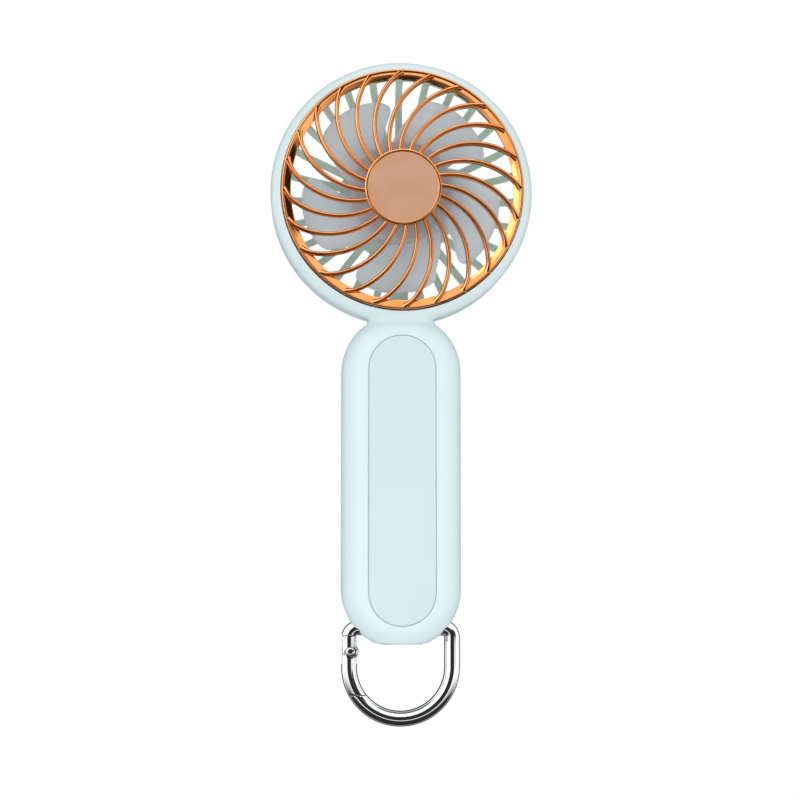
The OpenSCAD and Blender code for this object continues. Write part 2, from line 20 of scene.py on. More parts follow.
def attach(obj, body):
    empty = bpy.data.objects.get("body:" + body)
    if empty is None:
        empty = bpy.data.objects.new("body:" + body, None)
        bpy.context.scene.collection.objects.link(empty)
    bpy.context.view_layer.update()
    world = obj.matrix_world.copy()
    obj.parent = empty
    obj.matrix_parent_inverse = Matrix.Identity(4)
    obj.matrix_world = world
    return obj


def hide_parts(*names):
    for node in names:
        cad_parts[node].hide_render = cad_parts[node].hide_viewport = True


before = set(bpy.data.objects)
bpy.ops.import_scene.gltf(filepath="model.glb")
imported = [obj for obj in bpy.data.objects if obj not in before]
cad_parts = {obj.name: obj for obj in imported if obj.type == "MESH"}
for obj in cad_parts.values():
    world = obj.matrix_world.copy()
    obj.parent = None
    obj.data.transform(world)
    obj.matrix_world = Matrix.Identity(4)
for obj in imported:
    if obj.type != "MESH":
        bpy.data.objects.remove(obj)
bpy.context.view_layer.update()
MM = 0.001
ON_AXIS = 1e-6
LOG = logging.getLogger("fan")

Point = tuple[float, float]
Corner = tuple[float, float, float]
Colour = tuple[float, float, float]


class Body(Enum):
    """Bodies of the frame that pieces ride on."""

    CASING = "casing"
    IMPELLER = "impeller"
    BUTTON = "power_button"
    CARABINER = "carabiner"
    GATE = "gate"


# ---------------------------------------------------------------- shader maths


class Flow:
    """A socket whose operators add Math nodes."""

    def __init__(self, tree: bpy.types.NodeTree, socket: Any) -> None:
        """Wraps a socket.

        Args:
            tree: Node tree that the socket belongs to.
            socket: Output socket that carries a value.
        """
        self.tree = tree
        self.socket = socket

    def _math(self, operation: str, first: Any, second: Any = None) -> "Flow":
        """Adds one Math node.

        Args:
            operation: Blender's name of the operation.
            first: A Flow or a number.
            second: A Flow, a number or nothing.

        Returns:
            The node's result.
        """
        node = self.tree.nodes.new("ShaderNodeMath")
        node.operation = operation
        for place, value in enumerate((first, second)):
            if isinstance(value, Flow):
                self.tree.links.new(value.socket, node.inputs[place])
            elif value is not None:
                node.inputs[place].default_value = value
        return Flow(self.tree, node.outputs[0])

    def __add__(self, other: Any) -> "Flow":
        """Sum."""
        return self._math("ADD", self, other)

    def __radd__(self, other: Any) -> "Flow":
        """Sum with a number first."""
        return self._math("ADD", other, self)

    def __sub__(self, other: Any) -> "Flow":
        """Difference."""
        return self._math("SUBTRACT", self, other)

    def __rsub__(self, other: Any) -> "Flow":
        """Difference from a number."""
        return self._math("SUBTRACT", other, self)

    def __mul__(self, other: Any) -> "Flow":
        """Product."""
        return self._math("MULTIPLY", self, other)

    def __rmul__(self, other: Any) -> "Flow":
        """Product with a number first."""
        return self._math("MULTIPLY", other, self)

    def largest(self, other: Any) -> "Flow":
        """Larger of two values."""
        return self._math("MAXIMUM", self, other)

    def smallest(self, other: Any) -> "Flow":
        """Smaller of two values."""
        return self._math("MINIMUM", self, other)


class Paint:
    """Builds one material's node tree round a Principled shader."""

    def __init__(self, name: str) -> None:
        """Starts a material.

        Args:
            name: The material's name.
        """
        self.material = bpy.data.materials.new(name)
        self.material.use_nodes = True
        self.tree = self.material.node_tree
        self.shader = self.tree.nodes["Principled BSDF"]
        self.place = self.node("ShaderNodeTexCoord").outputs["Object"]

    def node(self, kind: str, settings: dict[str, Any] | None = None, **sockets: Any) -> bpy.types.Node:
        """Adds a node.

        Args:
            kind: Blender's type name of the node.
            settings: Properties set before the sockets.
            sockets: Values, Flows or sockets by input name, with spaces written as underscores.

        Returns:
            The new node.
        """
        node = self.tree.nodes.new(kind)
        for key, value in (settings or {}).items():
            setattr(node, key, value)
        self._feed(node, sockets)
        return node

    def _feed(self, node: bpy.types.Node, sockets: dict[str, Any]) -> None:
        """Sets or links a node's inputs by name."""
        for key, value in sockets.items():
            target = node.inputs[key.replace("_", " ")]
            if isinstance(value, Flow):
                self.tree.links.new(value.socket, target)
            elif isinstance(value, bpy.types.NodeSocket):
                self.tree.links.new(value, target)
            else:
                target.default_value = value

    def noise(self, size: float, detail: float = 2.0, stretch: Corner = (1.0, 1.0, 1.0)) -> Flow:
        """Noise between 0 and 1.

        Args:
            size: Size of the noise's blobs in millimetres.
            detail: Octaves of finer noise.
            stretch: How much longer the blobs are along each axis.

        Returns:
            The noise as a value.
        """
        scale = tuple(1.0 / (size * MM * s) for s in stretch)
        mapping = self.node("ShaderNodeMapping", Vector=self.place, Scale=scale)
        node = self.node("ShaderNodeTexNoise", Vector=mapping.outputs[0], Scale=1.0, Detail=detail)
        return Flow(self.tree, node.outputs[0])

    def ramp(self, value: Flow, low: float, high: float) -> Flow:
        """Smooth step of a value from 0 at low to 1 at high."""
        smooth = {"interpolation_type": "SMOOTHSTEP"}
        node = self.node("ShaderNodeMapRange", smooth, Value=value, From_Min=low, From_Max=high)
        return Flow(self.tree, node.outputs[0])

    def blend(self, mask: Flow, first: Colour, second: Colour) -> bpy.types.NodeSocket:
        """Mixes two colours.

        Args:
            mask: 0 for the first colour, 1 for the second.
            first: Linear colour.
            second: Linear colour.

        Returns:
            The mixed colour's socket.
        """
        node = self.node("ShaderNodeMix", {"data_type": "RGBA"})
        self.tree.links.new(mask.socket, node.inputs[0])
        node.inputs[6].default_value = (*first, 1.0)
        node.inputs[7].default_value = (*second, 1.0)
        return node.outputs[2]

    def bump(self, height: Flow, depth: float) -> bpy.types.NodeSocket:
        """Normal from a height.

        Args:
            height: Height between 0 and 1.
            depth: Depth in millimetres that a height of 1 stands for.

        Returns:
            The normal's socket.
        """
        node = self.node("ShaderNodeBump", Height=height, Distance=depth * MM, Strength=1.0)
        return node.outputs[0]

    def set(self, **sockets: Any) -> None:
        """Sets or links the Principled shader's sockets by name."""
        self._feed(self.shader, sockets)


def linear(red: int, green: int, blue: int) -> Colour:
    """Linear colour from display values of 11 to 255, by the sRGB curve."""
    return tuple(((value / 255 + 0.055) / 1.055) ** 2.4 for value in (red, green, blue))


# ---------------------------------------------------------------- finishes


@dataclass(frozen=True)
class MouldedFinish:
    """Moulded plastic or rubber: a faint grain, slow tone changes and a satin shine."""

    name: str
    colour: Colour
    tone: Colour
    roughness: float = 0.42
    grain: float = 0.22
    grain_depth: float = 0.006

    def material(self) -> bpy.types.Material:
        """Builds the material."""
        paint = Paint(self.name)
        tone = paint.ramp(paint.noise(28.0, 1.0), 0.3, 0.7)
        grain = paint.noise(self.grain, 2.0)
        patches = paint.noise(9.0, 3.0)
        paint.set(
            Base_Color=paint.blend(tone, self.colour, self.tone),
            Roughness=self.roughness - 0.04 + 0.08 * patches,
            Normal=paint.bump(grain, self.grain_depth),
        )
        return paint.material


@dataclass(frozen=True)
class PlatedFinish:
    """Bright plating: mirror-smooth, with the faint waves of the moulding and hair-fine rub marks."""

    name: str
    colour: Colour
    deep: Colour
    roughness: float = 0.05
    wave_depth: float = 0.004
    wave: float = 3.0

    def material(self) -> bpy.types.Material:
        """Builds the material."""
        paint = Paint(self.name)
        waves = paint.noise(self.wave, 2.0)
        rubs = paint.ramp(paint.noise(1.2, 4.0, (1.0, 1.0, 6.0)), 0.62, 0.8)
        cloud = paint.ramp(paint.noise(6.0, 2.0), 0.35, 0.75)
        paint.set(
            Base_Color=paint.blend(cloud, self.colour, self.deep),
            Metallic=1.0,
            Roughness=self.roughness + 0.02 * cloud + 0.09 * rubs,
            Normal=paint.bump(waves, self.wave_depth),
        )
        return paint.material


@dataclass(frozen=True)
class SatinPlateFinish:
    """Satin plating: very fine sparkle on an even metallic face."""

    name: str
    colour: Colour
    deep: Colour
    roughness: float = 0.42

    def material(self) -> bpy.types.Material:
        """Builds the material."""
        paint = Paint(self.name)
        sparkle = paint.noise(0.12, 1.0)
        cloud = paint.ramp(paint.noise(10.0, 2.0), 0.3, 0.7)
        paint.set(
            Base_Color=paint.blend(cloud, self.colour, self.deep),
            Metallic=0.4,
            Roughness=self.roughness + 0.1 * sparkle,
            Normal=paint.bump(sparkle, 0.004),
        )
        return paint.material


@dataclass(frozen=True)
class InnerFinish:
    """Plain working finish of a part inside the fan: its colour, spots or drawing lines, and wear."""

    name: str
    colour: Colour
    worn: Colour
    metallic: float = 0.0
    roughness: float = 0.45
    spot: float = 1.2
    lines: Corner = (1.0, 1.0, 1.0)

    def material(self) -> bpy.types.Material:
        """Builds the material."""
        paint = Paint(self.name)
        spots = paint.noise(self.spot, 3.0, self.lines)
        paint.set(
            Base_Color=paint.blend(paint.ramp(spots, 0.4, 0.7), self.colour, self.worn),
            Metallic=self.metallic,
            Roughness=self.roughness - 0.08 + 0.16 * spots,
            Normal=paint.bump(spots, 0.01),
        )
        return paint.material


@dataclass(frozen=True)
class SheerFinish:
    """Thin milky plastic that lets part of the light from behind through."""

    name: str
    colour: Colour
    tone: Colour
    sheer: float = 0.5

    def material(self) -> bpy.types.Material:
        """Builds the material."""
        paint = Paint(self.name)
        tone = paint.ramp(paint.noise(12.0, 2.0), 0.3, 0.7)
        colour = paint.blend(tone, self.colour, self.tone)
        grain = paint.bump(paint.noise(0.4, 2.0), 0.006)
        paint.set(Base_Color=colour, Roughness=0.36 + 0.08 * tone, Normal=grain)
        through = paint.node("ShaderNodeBsdfTranslucent", Color=colour, Normal=grain)
        mix = paint.node("ShaderNodeMixShader")
        paint.tree.links.new((self.sheer - 0.04 + 0.08 * tone).socket, mix.inputs[0])
        paint.tree.links.new(paint.shader.outputs[0], mix.inputs[1])
        paint.tree.links.new(through.outputs[0], mix.inputs[2])
        paint.tree.links.new(mix.outputs[0], paint.tree.nodes["Material Output"].inputs["Surface"])
        return paint.material


@dataclass(frozen=True)
class ClearFinish:
    """Frosted clear plastic of the light window."""

    name: str
    colour: Colour

    def material(self) -> bpy.types.Material:
        """Builds the material."""
        paint = Paint(self.name)
        frost = paint.noise(0.15, 2.0)
        paint.set(
            Base_Color=paint.blend(frost, self.colour, (0.95, 0.98, 1.0)),
            Roughness=0.2 + 0.2 * frost,
            Transmission_Weight=0.6,
            IOR=1.49,
            Normal=paint.bump(frost, 0.004),
        )
        return paint.material


MINT = MouldedFinish("mint_casing", linear(222, 239, 241), linear(219, 238, 238))
MINT_PANEL = MouldedFinish(
    "mint_panel", linear(210, 230, 231), linear(207, 228, 229), roughness=0.5, grain=0.16
)
# The rear cage is the casing's mint plastic, but its colour is tinted greener as painted shade, the shade the
# bars stand in behind the blades.
SHADED_MINT_CAGE = MouldedFinish("mint_cage_painted_shade", linear(220, 238, 226), linear(214, 235, 220), roughness=0.45)
BLADE_GREY = SheerFinish("blade_grey", linear(244, 249, 254), linear(240, 246, 251), sheer=0.66)
SILICONE = MouldedFinish("base_silicone", linear(132, 137, 141), linear(124, 130, 134), roughness=0.6)
COPPER = PlatedFinish("copper_chrome", (0.93, 0.39, 0.14), (0.88, 0.33, 0.10))
COPPER_SATIN = SatinPlateFinish("copper_satin", linear(224, 173, 143), linear(220, 165, 131))
CHROME = PlatedFinish(
    "carabiner_chrome", (0.86, 0.86, 0.87), (0.80, 0.80, 0.82), roughness=0.03, wave_depth=0.003
)
WINDOW = ClearFinish("window_clear", (0.85, 0.93, 0.95))


# ---------------------------------------------------------------- meshes


@dataclass
class Solid:
    """Corners in millimetres and faces of one closed mesh."""

    corners: np.ndarray
    faces: list[Sequence[int]]

    def moved(self, x: float = 0.0, y: float = 0.0, z: float = 0.0) -> "Solid":
        """Returns the same mesh at another place."""
        return Solid(self.corners + np.array((x, y, z)), self.faces)


def arc(x: float, y: float, radius: float, first: float, last: float, steps: int = 8) -> list[Point]:
    """Points of an arc, with its angles in degrees."""
    angles = np.radians(np.linspace(first, last, steps + 1))
    return [(x + radius * math.cos(a), y + radius * math.sin(a)) for a in angles]


def lathe(profile: Sequence[Point], x: float = 0.0, z: float = 0.0, segments: int = 128) -> Solid:
    """Turns a closed profile about an axis along Y.

    Args:
        profile: Radius and distance forward of each corner, in order round the section.
        x: Sideways place of the axis.
        z: Height of the axis.
        segments: Sides of the turned shape.

    Returns:
        The closed mesh.
    """
    turn = np.linspace(0, 2 * math.pi, segments, endpoint=False)
    loops = []
    for radius, forward in profile:
        if radius < ON_AXIS:
            loops.append(np.array([[x, -forward, z]]))
        else:
            across, up = x + radius * np.cos(turn), z + radius * np.sin(turn)
            loops.append(np.stack((across, np.full(segments, -forward), up), 1))
    return loft(loops, closed=True)


def loft(loops: Sequence[np.ndarray], closed: bool = False) -> Solid:
    """Skins a row of loops that have the same number of corners.

    Args:
        loops: Corners of each loop. A loop of one corner makes a point there.
        closed: Whether the last loop joins the first, as in a ring.

    Returns:
        The closed mesh.
    """
    size = max(len(loop) for loop in loops)
    starts = np.cumsum([0] + [len(loop) for loop in loops])
    rows = []
    for start, loop in zip(starts, loops):
        rows.append([start] * size if len(loop) == 1 else list(range(start, start + size)))
    faces: list[Sequence[int]] = []
    pairs = list(zip(rows, rows[1:])) + ([(rows[-1], rows[0])] if closed else [])
    for one, two in pairs:
        for k in range(size):
            n = (k + 1) % size
            face = list(dict.fromkeys((one[k], one[n], two[n], two[k])))
            if len(face) > 2:
                faces.append(face)
    if not closed:
        faces += [row for row, loop in ((rows[0], loops[0]), (rows[-1], loops[-1])) if len(loop) > 1]
    return Solid(np.concatenate(loops), faces)


def pill_loop(radius: float, low: float, high: float, y: float, steps: int = 40) -> np.ndarray:
    """Outline of an upright pill shape that faces forwards.

    Args:
        radius: Radius of its ends.
        low: Height of the lower end's centre.
        high: Height of the upper end's centre.
        y: Depth that the outline lies at.
        steps: Sides of each end.

    Returns:
        Its corners.
    """
    points = arc(0, high, radius, 0, 180, steps) + arc(0, low, radius, 180, 360, steps)
    return np.array([(x, y, z) for x, z in points])


def box(low: Corner, high: Corner) -> Solid:
    """Box between two corners."""
    (a, b, c), (d, e, f) = low, high
    loops = [np.array([(a, b, z), (d, b, z), (d, e, z), (a, e, z)]) for z in (c, f)]
    return loft(loops)


def rod(x0: float, x1: float, y: float, z: float, radius: float, segments: int = 48) -> Solid:
    """Cylinder along X."""
    turn = np.linspace(0, 2 * math.pi, segments, endpoint=False)
    across, up = y + radius * np.cos(turn), z + radius * np.sin(turn)
    return loft([np.stack((np.full(segments, x), across, up), 1) for x in (x0, x1)])


def slab_pill(half_w: float, half_h: float, y0: float, y1: float, z: float, edge: float = 0.0) -> Solid:
    """Round-ended block that lies across the handle and runs along Y, with a rounded outer edge."""

    def loop(shrink: float, y: float) -> np.ndarray:
        """Outline at one depth."""
        r = half_h - shrink
        w = half_w - half_h
        points = arc(w, z, r, -90, 90, 16) + arc(-w, z, r, 90, 270, 16)
        return np.array([(px, y, pz) for px, pz in points])

    loops = [loop(0, y0)]
    if edge:
        for a in np.radians((0, 30, 60, 90)):
            loops.append(loop(edge - edge * math.cos(a), y1 - edge + edge * math.sin(a)))
    else:
        loops.append(loop(0, y1))
    return loft(loops)


def to_object(name: str, solid: Solid, material: bpy.types.Material | None = None) -> bpy.types.Object:
    """Makes a Blender object, with its faces turned outwards."""
    mesh = bpy.data.meshes.new(name)
    mesh.from_pydata((solid.corners * MM).tolist(), [], [list(face) for face in solid.faces])
    work = bmesh.new()
    work.from_mesh(mesh)
    bmesh.ops.recalc_face_normals(work, faces=work.faces)
    work.to_mesh(mesh)
    work.free()
    mesh.validate()
    piece = bpy.data.objects.new(name, mesh)
    bpy.context.scene.collection.objects.link(piece)
    if material:
        mesh.materials.append(material)
    return piece


def bake(piece: bpy.types.Object) -> None:
    """Replaces an object's mesh with what its modifiers make of it."""
    bpy.context.view_layer.update()
    graph = bpy.context.evaluated_depsgraph_get()
    mesh = bpy.data.meshes.new_from_object(piece.evaluated_get(graph))
    materials = list(piece.data.materials)
    piece.modifiers.clear()
    piece.data = mesh
    mesh.materials.clear()
    for material in materials:
        mesh.materials.append(material)


def carve(piece: bpy.types.Object, cutters: Sequence[Solid], operation: str = "DIFFERENCE") -> None:
    """Cuts an object with solids, one after another.

    Args:
        piece: Object to cut.
        cutters: Closed meshes.
        operation: Boolean operation for all of them.
    """
    tools = []
    for cutter in cutters:
        tool = to_object("cutter", cutter)
        modifier = piece.modifiers.new("cut", "BOOLEAN")
        modifier.operation = operation
        modifier.solver = "MANIFOLD"
        modifier.object = tool
        tools.append(tool)
    bake(piece)
    for tool in tools:
        bpy.data.objects.remove(tool)


def finish_piece(
    piece: bpy.types.Object, body: Body, nodes: Sequence[str], sharp: float = 35.0
) -> None:
    """Shades a piece and ties it to the frame.

    Args:
        piece: Finished object.
        body: Body that it rides on.
        nodes: CAD nodes that it stands for.
        sharp: Angle in degrees above which an edge stays sharp.
    """
    mesh = piece.data
    mesh.shade_smooth()
    mesh.set_sharp_from_angle(angle=math.radians(sharp))
    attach(piece, body.value)
    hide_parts(*nodes)
    size = (len(mesh.vertices), len(mesh.polygons))
    LOG.info("%s: %d corners, %d faces, stands for %s", piece.name, *size, nodes)


@dataclass(frozen=True)
class Turned:
    """Piece turned about the fan's axis from one profile of radius and distance forward."""

    name: str
    node: str
    profile: Sequence[Point]
    segments: int = 192
    sharp: float = 40.0

    def make(self, body: Body, slot: str, material: bpy.types.Material, height: float) -> None:
        """Makes the piece and ties it to the frame.

        Args:
            body: Body that it rides on.
            slot: Not used.
            material: Its material.
            height: Height of the axis in millimetres.
        """
        piece = to_object(self.name, lathe(self.profile, z=height, segments=self.segments), material)
        finish_piece(piece, body, [self.node], self.sharp)


class RingOfCopies:
    """Geometry Nodes group that repeats a mesh round the fan's axis."""

    def __init__(self) -> None:
        """Builds the node group once."""
        tree = bpy.data.node_groups.new("ring_of_copies", "GeometryNodeTree")
        face = tree.interface
        face.new_socket("Geometry", in_out="INPUT", socket_type="NodeSocketGeometry")
        self.count = face.new_socket("Copies", in_out="INPUT", socket_type="NodeSocketInt")
        self.step = face.new_socket("Step Angle", in_out="INPUT", socket_type="NodeSocketFloat")
        self.start = face.new_socket("First Angle", in_out="INPUT", socket_type="NodeSocketFloat")
        self.height = face.new_socket("Axis Height", in_out="INPUT", socket_type="NodeSocketFloat")
        self.material = face.new_socket("Material", in_out="INPUT", socket_type="NodeSocketMaterial")
        face.new_socket("Geometry", in_out="OUTPUT", socket_type="NodeSocketGeometry")
        group_in, group_out = tree.nodes.new("NodeGroupInput"), tree.nodes.new("NodeGroupOutput")
        points = tree.nodes.new("GeometryNodePoints")
        centre = tree.nodes.new("ShaderNodeCombineXYZ")
        index = tree.nodes.new("GeometryNodeInputIndex")
        turn = tree.nodes.new("ShaderNodeMath")
        turn.operation = "MULTIPLY_ADD"
        angles = tree.nodes.new("ShaderNodeCombineXYZ")
        copies = tree.nodes.new("GeometryNodeInstanceOnPoints")
        real = tree.nodes.new("GeometryNodeRealizeInstances")
        paint = tree.nodes.new("GeometryNodeSetMaterial")
        for source, target in (
            (group_in.outputs["Copies"], points.inputs["Count"]),
            (group_in.outputs["Axis Height"], centre.inputs["Z"]),
            (centre.outputs[0], points.inputs["Position"]),
            (index.outputs[0], turn.inputs[0]),
            (group_in.outputs["Step Angle"], turn.inputs[1]),
            (group_in.outputs["First Angle"], turn.inputs[2]),
            (turn.outputs[0], angles.inputs["Y"]),
            (points.outputs[0], copies.inputs["Points"]),
            (group_in.outputs["Geometry"], copies.inputs["Instance"]),
            (angles.outputs[0], copies.inputs["Rotation"]),
            (copies.outputs[0], real.inputs[0]),
            (real.outputs[0], paint.inputs["Geometry"]),
            (group_in.outputs["Material"], paint.inputs["Material"]),
            (paint.outputs[0], group_out.inputs[0]),
        ):
            tree.links.new(source, target)
        self.tree = tree

    def repeat(
        self,
        name: str,
        solid: Solid,
        material: bpy.types.Material,
        count: int,
        step: float,
        first: float,
        height: float,
    ) -> bpy.types.Object:
        """Makes an object of copies round the axis.

        Args:
            name: The object's name.
            solid: One copy, relative to the axis, at angle 0.
            material: Material of all copies.
            count: How many copies.
            step: Degrees between them, anticlockwise from the front.
            first: Direction of the first one in degrees.
            height: Height of the axis in millimetres.

        Returns:
            The object with real copies.
        """
        piece = to_object(name, solid, material)
        modifier = piece.modifiers.new("copies", "NODES")
        modifier.node_group = self.tree
        modifier[self.count.identifier] = count
        modifier[self.step.identifier] = -math.radians(step)
        modifier[self.start.identifier] = -math.radians(first)
        modifier[self.height.identifier] = height * MM
        modifier[self.material.identifier] = material
        bake(piece)
        return piece


# ---------------------------------------------------------------- casing


@dataclass(frozen=True)
class HandleSize:
    """Pill-shaped handle."""

    half_width: float = 19.0
    half_depth: float = 11.0
    edge: float = 8.3
    low: float = 17.3
    high: float = 85.8
    base: float = 0.3
    panel_radius: float = 10.35
    panel_low: float = 16.55
    panel_high: float = 86.55
    panel_thick: float = 1.4
    panel_gap: float = 0.25
    panel_show: float = 0.09
    cave_radius: float = 17.2
    cave_edge: float = 5.0
    cave_front: float = 8.0
    cave_back: float = 9.4
    cave_low: float = 26.8
    cave_high: float = 84.0


@dataclass(frozen=True)
class BaseSize:
    """Bore for the carabiner's top bar, the mouths it swings in, and the pad on the flat base."""

    bar_height: float = 4.8
    bore: float = 2.6
    mouth: float = 2.95
    mouth_start: float = 13.1
    mouth_reach: float = 8.0
    mouth_low: float = -9.0
    swing: float = 60.0
    pad_width: float = 7.0
    pad_depth: float = 6.0
    pad_corner: float = 2.0
    pad_top: float = 1.3
    pad_edge: float = 0.3
    pad_gap: float = 0.05


@dataclass(frozen=True)
class ControlSize:
    """Power button, light window and USB-C port on the back of the handle."""

    button_height: float = 70.0
    button_well: Sequence[Point] = ((0, -6), (5.2, -6), (5.2, -10.75), (5.5, -11.1), (5.5, -14), (0, -14))
    button: Sequence[Point] = (
        (0, -8.64), (5.97, -8.64), (5.97, -9.08), (5, -9.1), (5, -11.2), (4.93, -11.42), (4.75, -11.57),
        (4.5, -11.6), (4.2, -11.55), (3.4, -11.36), (2.2, -11.22), (1, -11.16), (0, -11.15))
    window_height: float = 56.0
    window_width: float = 6.9
    window_half: float = 0.9
    window_edge: float = 0.2
    window_back: Point = (5.8, 11.0)
    window_slot: tuple[Corner, Corner] = ((-7, 6, 55), (7, 14, 57))
    port_height: float = 30.0
    port_width: float = 4.57
    port_half: float = 1.7
    port_cut: Point = (6.0, 14.0)


@dataclass(frozen=True)
class HeadSize:
    """Round rim of the fan's head."""

    height: float = 143.4
    radius: float = 41.8
    front: float = 11.2
    back: float = 5.2
    front_edge: float = 6.2
    back_edge: float = 0.8
    neck_fillet: float = 2.0
    seat: float = 38.4
    ledge: float = 36.4
    rear_bore: float = 40.45


class Skin:
    """Smooth surface of a distance field, meshed on a grid and then moved onto the field's zero."""

    def __init__(
        self, field: Callable[[np.ndarray], np.ndarray], low: Corner, high: Corner, step: float
    ) -> None:
        """Keeps the field and its grid.

        Args:
            field: Gives the signed distance at rows of x, y, z in millimetres.
            low: Lowest corner of the grid.
            high: Highest corner of the grid.
            step: Spacing of the grid.
        """
        self.field = field
        self.step = step
        self.axes = [np.arange(a, b + step, step) for a, b in zip(low, high)]

    def solid(self) -> Solid:
        """Meshes the surface.

        Returns:
            The closed mesh, of four-sided faces.
        """
        grid = np.stack(np.meshgrid(*self.axes, indexing="ij"), -1)
        values = self.field(grid.reshape(-1, 3)).reshape(grid.shape[:3])
        cells = tuple(n - 1 for n in values.shape)
        total, hits = np.zeros((*cells, 3)), np.zeros(cells)
        crossings = []
        # Each grid edge that the surface crosses adds its crossing point to the cells round it.
        for axis in range(3):
            one = [slice(None)] * 3
            two = [slice(None)] * 3
            one[axis], two[axis] = slice(None, -1), slice(1, None)
            first, second = values[tuple(one)], values[tuple(two)]
            crossed = (first < 0) != (second < 0)
            share = np.where(crossed, first / np.where(first == second, 1, first - second), 0)
            point = grid[tuple(one)].copy()
            point[..., axis] += share * self.step
            crossings.append((crossed, first < 0))
            others = [a for a in range(3) if a != axis]
            for shift in ((0, 0), (0, 1), (1, 0), (1, 1)):
                part = [slice(None)] * 3
                for other, offset in zip(others, shift):
                    part[other] = slice(offset, cells[other] + offset)
                mask = crossed[tuple(part)]
                total += np.where(mask[..., None], point[tuple(part)], 0)
                hits += mask
        # Each of those cells gets one corner, at the middle of its crossing points.
        active = hits > 0
        number = np.full(cells, -1)
        number[active] = np.arange(active.sum())
        corners = total[active] / hits[active][:, None]
        faces = []
        # Each crossed edge gets one face, between the corners of the four cells round it.
        for axis, (crossed, inside) in enumerate(crossings):
            b, c = ((1, 2), (2, 0), (0, 1))[axis]
            place = np.argwhere(crossed)
            place = place[(place[:, b] > 0) & (place[:, c] > 0)]
            place = place[(place[:, b] < cells[b]) & (place[:, c] < cells[c])]
            quad = []
            for db, dc in ((1, 1), (0, 1), (0, 0), (1, 0)):
                cell = place.copy()
                cell[:, b] -= db
                cell[:, c] -= dc
                quad.append(number[tuple(cell.T)])
            quad = np.stack(quad, 1)
            out = inside[tuple(place.T)]
            faces.append(np.where(out[:, None], quad, quad[:, ::-1]))
        return Solid(self._settle(corners), np.concatenate(faces).tolist())

    def _settle(self, corners: np.ndarray) -> np.ndarray:
        """Moves corners onto the surface in a few steps along the field's slope."""
        small = 0.02
        for _ in range(3):
            slope = np.zeros_like(corners)
            for axis in range(3):
                shift = np.zeros(3)
                shift[axis] = small
                slope[:, axis] = (self.field(corners + shift) - self.field(corners - shift)) / (2 * small)
            size = np.maximum((slope**2).sum(1), 0.25)
            corners = corners - (self.field(corners) / size)[:, None] * slope
        return corners


